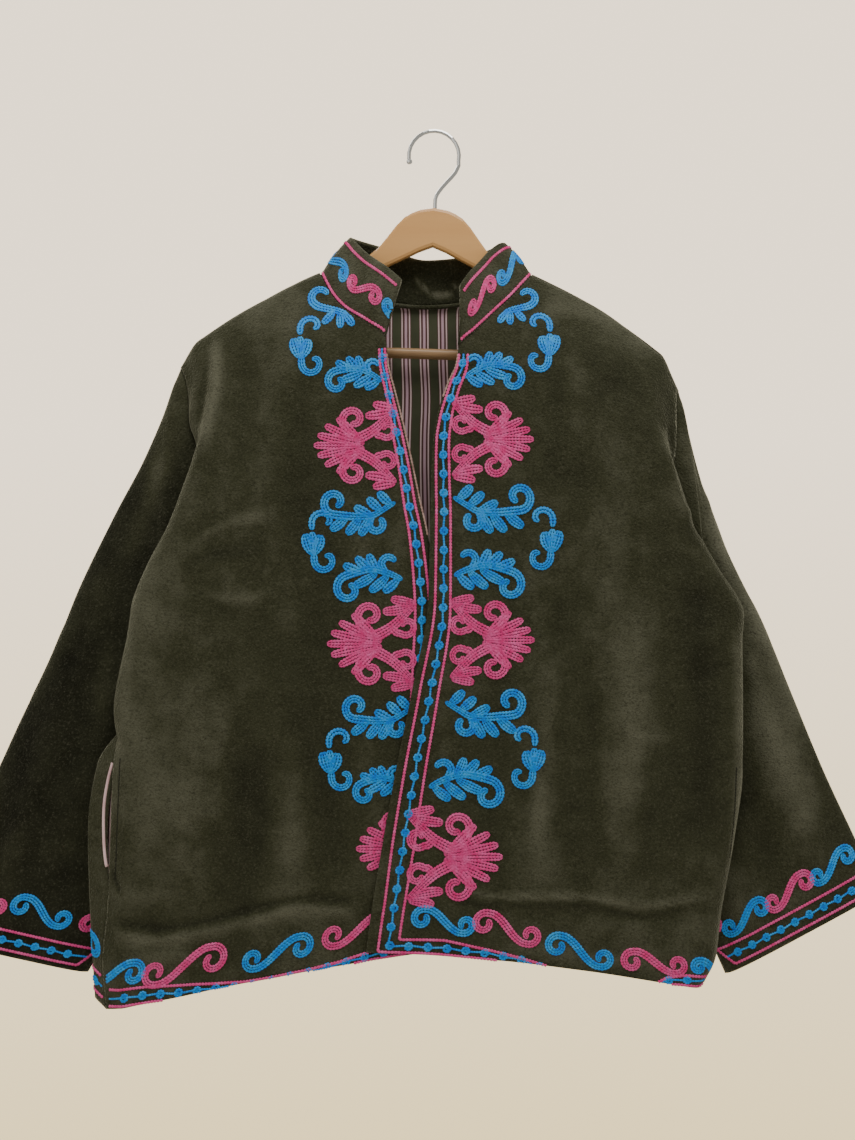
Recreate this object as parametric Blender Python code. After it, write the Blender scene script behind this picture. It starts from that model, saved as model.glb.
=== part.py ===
"""A velvet suzani jacket on a wooden clothes hanger, as it hangs at rest.

Sizes are in millimetres. X runs to the viewer's right, Y away from the viewer, Z up.
The origin is where the hook bears on whatever holds the hanger.
Each cloth piece is a closed wall: a smooth surface through a short table, thickened inwards.
"""

import math

import bmesh
import bpy
import numpy as np

# Clear the startup scene
for obj in list(bpy.data.objects):
    bpy.data.objects.remove(obj)

# Cloth thicknesses and gaps
VELVET = 2.0
COLLAR = 4.4
LINING = 1.0
LINING_SLACK = 2.6
SEAM_GAP = 1.0
SEWN_GAP = 0.4

# How far the roll point lies inside the fold, and where the three chest columns lie
ROLL_INSET = 9.0
CHEST = (0.25, 0.5, 0.72)

# Tables of the four body halves, from the shoulder seam down to the hem.
# The edge is the neckline and then the opening, or the neck column of the back.
# y25, y50 and y72 are depths at those fractions from the edge to the fold.
# The seam is the armhole down to the underarm, and then the side seam.
PANEL_COLUMNS = (
    "edge_x edge_z edge_y y25 y50 y72 roll_y fold_x fold_z fold_y seam_x seam_z seam_y rise"
).split()

FRONT_RIGHT = [
    (-118.0, -146.0, 0.0, 0, 0, 0, 0, -246.0, -217.0, 0.0, -262.0, -243.0, 0.0, 6),
    (-116.5, -148.5, -6.0, -6.5, -6.5, -6.5, -6, -246.0, -219.5, -5.5, -261.0, -245.0, -3.0, 6),
    (-113.5, -155.0, -11.5, -11, -11, -11, -11, -245.5, -225.0, -10.0, -259.0, -249.0, -5.0, 6),
    (-105.0, -171.0, -18.5, -21, -22, -21, -19, -243.0, -240.0, -16.0, -255.5, -258.0, -8.0, 5),
    (-91.0, -188.0, -30.0, -32, -33, -30, -26, -240.0, -261.0, -21.0, -252.0, -275.0, -10.0, 4),
    (-68.0, -204.0, -41.5, -41, -40, -36, -31, -238.0, -286.0, -24.0, -250.0, -297.0, -12.0, 3),
    (-49.0, -219.0, -46.0, -46, -45, -41, -35, -238.0, -312.0, -25.0, -245.0, -320.0, -13.5, 2),
    (-46.0, -245.0, -46.0, -47, -47, -44, -38, -246.0, -340.0, -25.0, -239.0, -347.0, -13.0, 1),
    (-38.0, -276.0, -45.0, -48, -48, -46, -39, -257.0, -371.0, -26.0, -242.0, -379.0, -12.0, 0),
    (-29.0, -312.0, -45.0, -48, -49, -47, -39, -271.0, -408.0, -26.0, -254.0, -415.0, -11.0, 0),
    (-21.0, -348.0, -45.0, -48, -49, -47, -39, -291.0, -447.0, -25.0, -271.0, -450.0, -9.0, 0),
    (-14.0, -382.0, -45.0, -47, -49, -47, -39, -305.0, -481.0, -24.0, -291.0, -479.0, -8.5, 0),
    (-6.0, -418.0, -45.0, -47, -49, -47, -39, -312.0, -521.0, -24.0, -298.0, -519.0, -12.5, 0),
    (3.0, -500.0, -45.0, -46, -48, -47, -39, -325.0, -595.0, -24.0, -316.0, -593.0, -14.0, 0),
    (3.0, -580.0, -45.0, -46, -48, -48, -45.5, -312.0, -650.0, -42.5, -323.0, -650.0, -36.0, 0),
    (-3.0, -655.0, -45.0, -46, -48, -48, -46, -315.0, -720.0, -42.5, -326.0, -720.0, -36.0, 0),
    (-10.0, -730.0, -45.0, -46, -47, -47, -46, -318.0, -790.0, -42.5, -329.0, -790.0, -36.0, 0),
    (-14.0, -790.0, -45.0, -45, -46, -46, -45, -323.0, -847.0, -41.5, -334.0, -846.0, -35.0, 1),
    (-17.0, -836.0, -45.0, -44, -45, -45, -44, -318.0, -893.0, -40.0, -331.0, -895.0, -34.0, 3),
]

FRONT_LEFT = [
    (102.0, -147.0, 0.0, 0, 0, 0, 0, 236.0, -231.0, 0.0, 253.0, -267.0, 0.0, 7),
    (100.5, -149.5, -6.0, -6.5, -6.5, -6.5, -6, 236.0, -233.5, -5.5, 252.0, -269.0, -3.0, 7),
    (94.5, -156.5, -11.5, -11, -11, -11, -11, 235.5, -239.0, -10.0, 250.5, -273.0, -5.0, 7),
    (80.0, -173.0, -19.0, -21, -22, -21, -19, 233.0, -254.0, -16.0, 249.5, -283.0, -8.0, 6),
    (62.0, -191.0, -29.0, -32, -33, -30, -26, 230.0, -274.0, -21.0, 249.0, -299.0, -10.0, 5),
    (41.0, -212.0, -41.0, -41, -40, -36, -31, 229.0, -299.0, -24.0, 248.5, -320.0, -12.0, 4),
    (25.0, -228.0, -49.0, -47, -45, -41, -35, 236.0, -326.0, -25.0, 247.0, -342.0, -13.0, 3),
    (22.0, -246.0, -50.0, -48, -47, -44, -38, 247.0, -353.0, -25.0, 243.0, -366.0, -13.0, 2),
    (13.0, -267.0, -51.0, -50, -48, -46, -39, 257.0, -384.0, -26.0, 247.0, -394.0, -12.0, 1),
    (4.0, -294.0, -51.0, -50, -49, -47, -39, 268.0, -414.0, -26.0, 254.0, -428.0, -11.0, 0),
    (-1.0, -322.0, -51.0, -51, -50, -47, -39, 288.0, -449.0, -25.0, 270.0, -462.0, -9.0, 0),
    (-3.0, -354.0, -51.0, -51, -50, -47, -39, 314.0, -497.0, -24.0, 296.0, -500.0, -8.5, 0),
    (-4.0, -400.0, -51.0, -51, -50, -47, -40, 312.0, -530.0, -25.0, 304.0, -532.0, -15.5, 0),
    (-6.0, -482.0, -51.0, -51, -50, -47, -41, 312.0, -597.0, -28.0, 308.0, -598.0, -20.0, 0),
    (-22.0, -572.0, -51.0, -51, -50, -48, -43, 311.0, -660.0, -33.0, 313.5, -660.0, -25.0, 0),
    (-38.0, -650.0, -51.0, -51, -50, -48, -43, 302.5, -728.0, -33.0, 305.0, -728.0, -25.0, 1),
    (-52.0, -728.0, -51.0, -51, -50, -48, -43, 289.5, -797.0, -33.0, 292.0, -797.0, -25.0, 3),
    (-63.0, -795.0, -51.0, -51, -50, -48, -43, 283.5, -845.0, -33.0, 286.0, -845.0, -26.0, 5),
    (-68.0, -833.0, -51.0, -50, -49, -48, -44, 266.0, -872.0, -38.0, 273.0, -869.0, -30.0, 7),
]

BACK_RIGHT = [
    (-118.0, -146.0, 0.0, 0, 0, 0, 0, -246.0, -217.0, 0.0, -262.0, -243.0, 0.0, 6),
    (-117.0, -149.0, 4.5, 6.5, 6.5, 6.5, 6, -246.0, -219.5, 5.5, -261.5, -245.0, 3.0, 6),
    (-113.0, -155.0, 9.5, 11, 11, 11, 11, -246.0, -225.0, 10.0, -260.5, -249.0, 6.0, 6),
    (-112.0, -172.0, 16.0, 16, 16, 16, 15.5, -246.0, -240.0, 14.5, -258.0, -259.0, 10.0, 5),
    (-112.0, -195.0, 19.0, 19, 19, 18.5, 18, -245.0, -260.0, 16.5, -255.0, -275.0, 13.0, 4),
    (-113.0, -222.0, 20.0, 20, 20, 19, 18.5, -243.0, -284.0, 17.5, -252.0, -296.0, 15.0, 3),
    (-114.0, -248.0, 20.5, 20.5, 20.5, 19.5, 19, -240.0, -310.0, 18.0, -249.0, -320.0, 16.0, 2),
    (-115.0, -278.0, 21.0, 21, 21, 20, 19, -238.0, -340.0, 18.5, -247.0, -350.0, 17.0, 1),
    (-116.0, -312.0, 21.0, 21, 21, 20, 19, -238.0, -372.0, 18.5, -248.0, -382.0, 17.0, 0),
    (-117.0, -350.0, 21.0, 21, 21, 19.5, 18, -241.0, -406.0, 17.0, -253.0, -414.0, 15.0, 0),
    (-118.0, -390.0, 21.0, 21, 21, 18, 14, -252.0, -440.0, 14.5, -268.0, -448.0, 13.0, 0),
    (-118.0, -428.0, 21.0, 21, 20.5, 15, 6, -276.0, -476.0, 1.0, -291.0, -479.0, -8.5, 0),
    (-118.0, -470.0, 21.0, 21, 19, 5, -10, -290.0, -520.0, -12.0, -298.0, -519.0, -12.5, 0),
    (-118.0, -555.0, 21.0, 21, 17, -1, -10, -308.0, -594.0, -12.0, -316.0, -593.0, -14.0, 0),
    (-118.0, -620.0, 21.0, 21, 16, -1, -11, -344.0, -650.0, -21.0, -323.0, -650.0, -36.0, 0),
    (-118.0, -695.0, 21.0, 21, 16, -1, -8, -353.0, -718.0, -21.0, -326.0, -720.0, -36.0, 0),
    (-118.0, -768.0, 21.0, 21, 16, 0, -8, -351.0, -790.0, -21.0, -329.0, -790.0, -36.0, 0),
    (-118.0, -825.0, 20.0, 20, 17, 6, -5, -348.0, -848.0, -21.0, -334.0, -846.0, -35.0, 0),
    (-118.0, -862.0, 19.0, 19, 17, 11, 0, -346.0, -886.0, -20.0, -331.0, -895.0, -34.0, 0),
]

BACK_LEFT = [
    (102.0, -147.0, 0.0, 0, 0, 0, 0, 236.0, -231.0, 0.0, 253.0, -267.0, 0.0, 7),
    (100.5, -150.0, 4.5, 6.5, 6.5, 6.5, 6, 236.0, -233.5, 5.5, 252.5, -269.0, 3.0, 7),
    (97.0, -156.0, 9.5, 11, 11, 11, 11, 236.0, -239.0, 10.0, 251.5, -273.0, 6.0, 7),
    (96.0, -173.0, 16.0, 16, 16, 16, 15.5, 236.0, -254.0, 14.5, 250.0, -283.0, 10.0, 6),
    (97.0, -196.0, 19.0, 19, 19, 18.5, 18, 235.0, -274.0, 16.5, 248.5, -299.0, 13.0, 5),
    (98.0, -223.0, 20.0, 20, 20, 19, 18.5, 234.0, -298.0, 17.5, 247.5, -320.0, 15.0, 4),
    (99.0, -249.0, 20.5, 20.5, 20.5, 19.5, 19, 233.0, -325.0, 18.0, 247.0, -343.0, 16.0, 3),
    (100.0, -279.0, 21.0, 21, 21, 20, 19, 233.0, -356.0, 18.5, 247.0, -368.0, 17.0, 2),
    (101.0, -313.0, 21.0, 21, 21, 20, 19, 236.0, -388.0, 18.5, 250.0, -398.0, 17.0, 1),
    (102.0, -351.0, 21.0, 21, 21, 19.5, 18, 243.0, -422.0, 17.0, 256.0, -431.0, 15.0, 0),
    (102.0, -391.0, 21.0, 21, 21, 18, 14, 257.0, -458.0, 14.5, 270.0, -466.0, 13.0, 0),
    (102.0, -429.0, 21.0, 21, 20.5, 15, 6, 281.0, -496.0, 1.0, 296.0, -500.0, -8.5, 0),
    (102.0, -471.0, 21.0, 21, 19, 5, -12, 295.0, -534.0, -15.0, 304.0, -532.0, -15.5, 0),
    (102.0, -556.0, 21.0, 21, 17, -1, -10, 301.0, -600.0, -14.0, 308.0, -598.0, -20.0, 0),
    (102.0, -621.0, 21.0, 21, 16, -2, -10, 307.0, -661.0, -14.0, 313.5, -660.0, -25.0, 0),
    (102.0, -696.0, 21.0, 21, 16, -1, -8, 299.0, -729.0, -14.0, 305.0, -728.0, -25.0, 0),
    (102.0, -769.0, 21.0, 21, 16, 0, -7, 286.0, -797.0, -14.0, 292.0, -797.0, -25.0, 0),
    (102.0, -826.0, 20.0, 20, 17, 4, -4, 280.0, -844.0, -13.0, 286.0, -845.0, -26.0, 0),
    (102.0, -858.0, 19.0, 19, 16, 8, -2, 268.0, -867.0, -15.0, 273.0, -869.0, -30.0, 0),
]

# Height and depth of the back's middle, row by row
BACK_MIDDLE_Z = [
    -177, -179.5, -184, -197, -215, -238, -261, -289, -321, -357,
    -395, -432, -473, -554, -618, -690, -760, -814, -850,
]
BACK_MIDDLE_Y = [21, 21, 21, 21, 21.5, 22, 22, 22, 22, 22, 22, 22, 22, 22, 22, 22, 22, 21, 20]
BACK_MIDDLE_X = -8.0

# How far the neckline has come, in x, y and z, from the shoulder point to the middle
NECK_SHARES = [(0, 0, 0), (0.12, 0.5, 0.2), (0.5, 0.85, 0.82), (1, 1, 1)]

# Rows of the body tables: where the armhole ends and where each pocket mouth opens
UNDERARM = 11
POCKET_FROM = 13.9
POCKET_TO = 15.8
POCKET_GAPE = 7.0

# Sleeves: outer edge, inner edge, then front and back depth of each ring below the armhole
SLEEVE_COLUMNS = "outer_x outer_z inner_x inner_z front_y back_y".split()

SLEEVE_RIGHT = [
    (-269, -257, -292, -491, -10, 20),
    (-282, -292, -295, -514, -7, 22),
    (-303, -340, -297, -543, -4, 24),
    (-333, -394, -290, -580, -2, 25),
    (-368, -467, -273, -625, 0, 26),
    (-402, -548, -276, -680, 0, 26),
    (-437, -620, -290, -735, 0, 26),
    (-476, -704, -314, -785, 0, 26),
    (-508, -770, -337, -828, 0, 25),
    (-537, -830, -360, -871, 0, 24),
]

SLEEVE_LEFT = [
    (257, -278, 298, -513, -10, 20),
    (262, -300, 301, -535, -7, 22),
    (271, -337, 306, -562, -6, 24),
    (289, -392, 302, -594, -4, 25),
    (318, -457, 287, -641, -1, 26),
    (345, -512, 276, -690, 0, 26),
    (374, -581, 269, -738, 0, 26),
    (405, -656, 274, -785, 0, 26),
    (438, -727, 286, -830, 0, 25),
    (464, -787, 304, -873, 0, 24),
]

# Top edge of the collar, from the right front corner round the back to the left front corner.
# Its lower edge is the neckline, with a station at each row of the fronts and column of the neck.
COLLAR_TOP = [
    (-33, -50, -162),
    (-48, -42, -147.5),
    (-68, -24, -130),
    (-79, -11, -117),
    (-84, -4, -110),
    (-86, 0, -107.5),
    (-86.5, 3, -107),
    (-80, 9, -108.5),
    (-47, 19, -116),
    (-8, 22, -127),
    (39, 20, -123),
    (68, 9.5, -114),
    (73.5, 3, -113),
    (72.5, 0, -113),
    (69, -4, -114),
    (58.5, -9, -122),
    (47, -21, -137),
    (35, -35, -153),
    (28, -45, -166),
]
COLLAR_ROWS = 6

# Hanger: half outline of the wooden arms, then its thickness, lean, bar and hook
YOKE_COLUMNS = "x top bottom".split()

YOKE = [
    (0, -78, -118.5),
    (14, -80.3, -124),
    (22, -83.6, -128.2),
    (30, -88.5, -132.3),
    (38, -97, -136.3),
    (48, -110.5, -141.3),
    (56, -121, -145.5),
    (66, -129.5, -151),
    (90, -149, -166),
    (118, -165, -184),
    (165, -186, -206),
    (184, -192.5, -216),
    (187, -194, -228),
    (191, -196, -234),
    (197, -199, -237.3),
    (203, -201.5, -238),
    (210, -205, -236.1),
    (215, -208.5, -232.4),
    (218.5, -213, -227),
    (220, -217, -223),
]
YOKE_THICK = 10.8
YOKE_LEAN = math.radians(1.8)
YOKE_PIVOT_Z = -78.0
BAR_RADIUS = 5.5
BAR_HALF = 194.0
BAR_Z = -229.0
HOOK_RADIUS = 2.0
HOOK_ARC = 26.0
HOOK_ARC_Z = -24.0
HOOK_SHANK = [(25.6, -34.0), (22.0, -41.5), (13.0, -51.5), (5.0, -61.0), (1.4, -68.5), (1.0, -78.0), (1.0, -90.0)]
TIP_RADIUS = 3.0


def column(rows, columns, name):
    """One named column of a table as numbers."""
    return np.array([row[columns.index(name)] for row in rows], float)


def tangents(values):
    """Slopes along the first axis that never overshoot the given values."""
    steps = np.diff(values, axis=0)
    before = steps[:-1]
    after = steps[1:]
    same = before * after > 0
    total = np.where(same, before + after, 1.0)
    middle = np.where(same, 2 * before * after / total, 0.0)
    return np.concatenate([steps[:1], middle, steps[-1:]])


def smooth(values, at):
    """Values read between rows at fractional row numbers, along the first axis."""
    values = np.asarray(values, float)
    at = np.asarray(at, float)
    low = np.clip(np.floor(at).astype(int), 0, len(values) - 2)
    t = (at - low).reshape((-1,) + (1,) * (values.ndim - 1))
    slope = tangents(values)
    start = values[low] * (2 * t**3 - 3 * t**2 + 1) + slope[low] * (t**3 - 2 * t**2 + t)
    end = values[low + 1] * (3 * t**2 - 2 * t**3) + slope[low + 1] * (t**3 - t**2)
    return start + end


def panel_controls(rows):
    """Control points of a body half: edge, three chest columns, roll, fold and seam."""
    get = {name: column(rows, PANEL_COLUMNS, name) for name in PANEL_COLUMNS}
    edge = np.stack([get["edge_x"], get["edge_y"], get["edge_z"]], axis=1)
    fold = np.stack([get["fold_x"], get["fold_y"], get["fold_z"]], axis=1)
    seam = np.stack([get["seam_x"], get["seam_y"], get["seam_z"]], axis=1)
    width = np.abs(fold[:, 0] - edge[:, 0])
    across = [edge]
    for fraction, depth in zip(CHEST + (None,), ("y25", "y50", "y72", "roll_y")):
        share = 1 - ROLL_INSET / width if fraction is None else np.full(len(rows), fraction)
        point = edge + (fold - edge) * share[:, None]
        point[:, 1] = get[depth]
        point[:, 2] += get["rise"] * 4 * share * (1 - share)
        across.append(point)
    return np.stack(across + [fold, seam], axis=1)


def grid(controls, rows_at, columns_at):
    """Points of the surface through a net of controls, at the given rows and columns."""
    down = smooth(controls, rows_at)
    return smooth(down.transpose(1, 0, 2), columns_at).transpose(1, 0, 2)


def back_controls():
    """The two back halves and the net of the part between their neck columns."""
    right = panel_controls(BACK_RIGHT)
    left = panel_controls(BACK_LEFT)
    middle = np.stack(
        [np.full(len(BACK_MIDDLE_Z), BACK_MIDDLE_X), BACK_MIDDLE_Y, BACK_MIDDLE_Z], axis=1
    )
    across = []
    for share_x, share_y, share_z in NECK_SHARES:
        share = np.array([share_x, share_y, share_z])
        across.append(right[:, 0] + (middle - right[:, 0]) * share)
    for share_x, share_y, share_z in NECK_SHARES[-2::-1]:
        share = np.array([share_x, share_y, share_z])
        across.append(left[:, 0] + (middle - left[:, 0]) * share)
    neck = np.stack(across, axis=1)
    return right, neck, left


def gape(rows_at):
    """How far the back edge stands off the front edge where a pocket mouth opens."""
    t = np.clip((np.asarray(rows_at, float) - POCKET_FROM) / (POCKET_TO - POCKET_FROM), 0, 1)
    return POCKET_GAPE * np.sin(math.pi * t) ** 1.5


def back_grid(rows_at, side_at, neck_at):
    """The whole back: right half from its seam, the part below the neck, then the left half."""
    right, neck, left = back_controls()
    one = grid(right, rows_at, side_at)[:, ::-1]
    two = grid(neck, rows_at, neck_at)
    three = grid(left, rows_at, side_at)
    reach = np.clip(np.asarray(side_at, float) - 5.0, 0, 1)
    shift = gape(rows_at)[:, None] * reach[None, :]
    one[:, :, 0] -= shift[:, ::-1] * 0.8
    one[:, :, 1] += shift[:, ::-1] * 0.5
    three[:, :, 0] -= shift * 0.2
    three[:, :, 1] += shift
    return np.concatenate([one[:, :-1], two, three[:, 1:]], axis=1)


def normals(points, closed=False):
    """Unit normals of a net of points, by the differences along and across it."""
    if closed:
        across = np.roll(points, -1, axis=1) - np.roll(points, 1, axis=1)
    else:
        across = np.gradient(points, axis=1)
    along = np.gradient(points, axis=0)
    normal = np.cross(across, along)
    return normal / np.linalg.norm(normal, axis=2, keepdims=True)


def outward(points, facing):
    """Normals of an open panel on its visible side; facing is 1 for a net that starts at its left."""
    return -normals(points) * facing


def ring_normals_out(points, normal, centre):
    """The normals turned to face away from the given centre."""
    outward = np.sum((points - centre) * normal)
    return normal if outward > 0 else -normal


def material(name, colour, roughness, metallic=0.0):
    made = bpy.data.materials.new(name)
    made.use_nodes = True
    shader = made.node_tree.nodes["Principled BSDF"]
    shader.inputs["Base Color"].default_value = (*colour, 1.0)
    shader.inputs["Roughness"].default_value = roughness
    shader.inputs["Metallic"].default_value = metallic
    return made


def add_object(name, bm, finish):
    """Turn a closed bmesh in millimetres into an object in metres."""
    bmesh.ops.scale(bm, vec=(0.001, 0.001, 0.001), verts=bm.verts)
    if bm.calc_volume(signed=True) < 0:
        bmesh.ops.reverse_faces(bm, faces=bm.faces)
    mesh = bpy.data.meshes.new(name)
    bm.to_mesh(mesh)
    bm.free()
    mesh.materials.append(finish)
    obj = bpy.data.objects.new(name, mesh)
    bpy.context.scene.collection.objects.link(obj)
    return obj


def wall(name, outer, inner, finish, closed=False, crown=None):
    """A closed wall between two nets of points; a crown is an extra row round the last edge."""
    bm = bmesh.new()
    layers = []
    for net in (outer, inner):
        layers.append([[bm.verts.new(point) for point in row] for row in net])
    one, two = layers
    rows = len(one)
    columns = len(one[0])
    last = columns if closed else columns - 1
    for i in range(rows - 1):
        for j in range(last):
            k = (j + 1) % columns
            bm.faces.new((one[i][j], one[i][k], one[i + 1][k], one[i + 1][j]))
            bm.faces.new((two[i][j], two[i + 1][j], two[i + 1][k], two[i][k]))
        if not closed:
            bm.faces.new((one[i][0], one[i + 1][0], two[i + 1][0], two[i][0]))
            bm.faces.new((one[i][-1], two[i][-1], two[i + 1][-1], one[i + 1][-1]))
    top = [bm.verts.new(point) for point in crown] if crown is not None else None
    for j in range(last):
        k = (j + 1) % columns
        bm.faces.new((one[0][j], two[0][j], two[0][k], one[0][k]))
        if top:
            bm.faces.new((one[-1][j], one[-1][k], top[k], top[j]))
            bm.faces.new((top[j], top[k], two[-1][k], two[-1][j]))
        else:
            bm.faces.new((one[-1][j], one[-1][k], two[-1][k], two[-1][j]))
    if top:
        bm.faces.new((one[-1][0], top[0], two[-1][0]))
        bm.faces.new((one[-1][-1], two[-1][-1], top[-1]))
    return add_object(name, bm, finish)


def tube(name, path, radii, finish, sides=10):
    """A closed round bar along a path in space, with its own radius at each point."""
    path = np.asarray(path, float)
    along = np.gradient(path, axis=0)
    along /= np.linalg.norm(along, axis=1, keepdims=True)
    bm = bmesh.new()
    rings = []
    for centre, direction, radius in zip(path, along, radii):
        side = np.cross(direction, (0.0, 1.0, 0.0))
        side /= np.linalg.norm(side)
        up = np.cross(side, direction)
        ring = []
        for k in range(sides):
            angle = 2 * math.pi * k / sides
            point = centre + radius * (math.cos(angle) * side + math.sin(angle) * up)
            ring.append(bm.verts.new(point))
        rings.append(ring)
    for first, second in zip(rings, rings[1:]):
        for k in range(sides):
            m = (k + 1) % sides
            bm.faces.new((first[k], first[m], second[m], second[k]))
    bm.faces.new(rings[0][::-1])
    bm.faces.new(rings[-1])
    return add_object(name, bm, finish)


def spread(*steps):
    """Fractional row or column numbers, with this many equal steps in each span of the table."""
    found = [0.0]
    for span, count in enumerate(steps):
        found += [span + (k + 1) / count for k in range(count)]
    return np.array(found)


# Materials, as on the real thing
velvet = material("velvet", (0.050, 0.047, 0.028), 0.85)
lining = material("lining", (0.070, 0.075, 0.035), 0.80)
satin = material("satin", (0.80, 0.55, 0.58), 0.45)
wood = material("hanger_wood", (0.55, 0.33, 0.16), 0.45)
oak = material("bar_wood", (0.40, 0.24, 0.11), 0.50)
chrome = material("chrome", (0.80, 0.80, 0.80), 0.15, metallic=1.0)

# Body panels share their rows and columns, so that the walls meet squarely at each seam
ROWS_AT = spread(1, 1, 2, 2, 2, 2, 2, 2, 2, 2, 2, 2, 2, 2, 2, 2, 2, 2)
ACROSS = spread(2, 2, 2, 2, 2, 3)
NECK_AT = spread(1, 2, 1, 1, 2, 1)
SIDE = len(ACROSS)
front_right = grid(panel_controls(FRONT_RIGHT), ROWS_AT, ACROSS)
front_left = grid(panel_controls(FRONT_LEFT), ROWS_AT, ACROSS)
back = back_grid(ROWS_AT, ACROSS, NECK_AT)
facing_right = outward(front_right, -1)
facing_left = outward(front_left, 1)
facing_back = outward(back, -1)


def share_seams(one, two):
    """Give both sides of a seam one direction to be thickened in."""
    both = one + two
    both /= np.linalg.norm(both, axis=-1, keepdims=True)
    one[...] = both
    two[...] = both


share_seams(facing_right[0], facing_back[0, SIDE - 1 :: -1])
share_seams(facing_left[0], facing_back[0, -SIDE:])
below = 2 * UNDERARM - 2
share_seams(facing_right[below:, -1], facing_back[below:, 0])
share_seams(facing_left[below:, -1], facing_back[below:, -1])


def trim(edge, beside, extra=0.0):
    """Draw one edge of a panel back from its seam line, towards the next points in."""
    step = beside - edge
    edge += step / np.linalg.norm(step, axis=-1, keepdims=True) * (SEAM_GAP + extra)


trim(back[0, :SIDE], back[1, :SIDE])
trim(back[0, -SIDE:], back[1, -SIDE:])
trim(back[:, 0], back[:, 1])
trim(back[:, -1], back[:, -2])


def lined(points, normal, sewn=()):
    """Outer and inner nets of the lining behind a net of velvet, close to it in its sewn columns."""
    deep = np.full((1, points.shape[1], 1), VELVET + LINING_SLACK)
    deep[0, list(sewn), 0] = VELVET + SEWN_GAP
    return points - normal * deep, points - normal * (deep + LINING)


LINED_ROWS = slice(5, 34)
LINED_COLUMNS = [1, 3, 5, 7, 8, 9]
wall("front_right", front_right, front_right - facing_right * VELVET, velvet)
wall("front_left", front_left, front_left - facing_left * VELVET, velvet)
wall("back", back, back - facing_back * VELVET, velvet)
for name, net, normal in (
    ("front_right_lining", front_right, facing_right),
    ("front_left_lining", front_left, facing_left),
):
    part = net[LINED_ROWS][:, LINED_COLUMNS], normal[LINED_ROWS][:, LINED_COLUMNS]
    wall(name, *lined(*part, sewn=[0]), lining)

# Back lining, which starts at the neck seam in the middle and lower at the shoulders
LINED_SIDE = [4.5, 4.0, 3.0, 2.0, 1.0, 0.0]
LINED_NECK = [1.0, 1.5, 2.0, 3.0, 4.0, 4.5, 5.0]
right, neck, left = back_controls()
strips = [(right, at, 0.0) for at in LINED_SIDE]
strips += [(neck, at, 1 - min(1.0, abs(at - 3.0) / 2.0) ** 3) for at in LINED_NECK]
strips += [(left, at, 0.0) for at in LINED_SIDE[::-1]]
behind = []
for half, at, rise in strips:
    start = 3.4 - 3.0 * rise
    rows_at = start + np.linspace(0, 1, 18) * (17.6 - start)
    behind.append(grid(half, rows_at, [at])[:, 0])
net = np.stack(behind, axis=1)
wall("back_lining", *lined(net, outward(net, -1)), lining)

# Sleeves, each cut as a front and a back piece: an armhole ring that follows both body edges,
# then the rings of the table
RING_AT = np.array([0, 1, 2, 3, 4, 5, 6, 7, 8, 9, 10, 10.5, UNDERARM])
RING_SHARE = np.array([0, 0.01, 0.03, 0.07, 0.14, 0.23, 0.33, 0.44, 0.58, 0.73, 0.88, 0.95, 1])


def armhole(front, back, at):
    """The armhole as a closed ring of points: down the front edge and up the back edge."""
    down = smooth(front[:, -1], at)
    up = smooth(back[:, -1], at)
    return np.concatenate([down, up[-2:0:-1]])


def sleeve_rings(rows, front, back, facing):
    first = armhole(front, back, RING_AT)
    along = np.concatenate([RING_SHARE, RING_SHARE[-2:0:-1]])
    inward = first.mean(axis=0) - first
    inward /= np.linalg.norm(inward, axis=1, keepdims=True)
    clear = 1.0 + 1.6 * along**3
    first = first + inward * clear[:, None] + np.array([0.3 * facing, 0.4, 0.0])
    rings = [first]
    side = np.repeat([1.0, -1.0], [len(RING_SHARE), len(RING_SHARE) - 2])
    swell = side * (4 * along * (1 - along)) ** 0.35
    for row in rows:
        get = dict(zip(SLEEVE_COLUMNS, row))
        x = get["outer_x"] + (get["inner_x"] - get["outer_x"]) * along
        z = get["outer_z"] + (get["inner_z"] - get["outer_z"]) * along
        middle = (get["front_y"] + get["back_y"]) / 2
        y = middle - swell * (get["back_y"] - get["front_y"]) / 2
        rings.append(np.stack([x, y, z], axis=1))
    return np.stack(rings)


SLEEVE_ROWS = spread(2, 2, 2, 2, 2, 2, 2, 1, 1, 1)
for name, table, front_rows, back_rows, facing in (
    ("sleeve_right", SLEEVE_RIGHT, FRONT_RIGHT, BACK_RIGHT, -1),
    ("sleeve_left", SLEEVE_LEFT, FRONT_LEFT, BACK_LEFT, 1),
):
    body = panel_controls(front_rows), panel_controls(back_rows)
    rings = smooth(sleeve_rings(table, *body, facing), SLEEVE_ROWS)
    normal = ring_normals_out(rings, normals(rings, closed=True), rings.mean(axis=1, keepdims=True))
    fold = len(RING_SHARE) - 1
    halves = {
        "_front": slice(0, fold + 1),
        "_back": list(range(fold, rings.shape[1])) + [0],
    }
    for half, columns in halves.items():
        net = rings[:, columns].copy()
        if half == "_back":
            trim(net[:, 0], net[:, 1], 9.8 * np.exp(-SLEEVE_ROWS / 2.0)[:, None])
            trim(net[:, -1], net[:, -2])
        wall(name + half, net, net - normal[:, columns] * VELVET, velvet)

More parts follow.
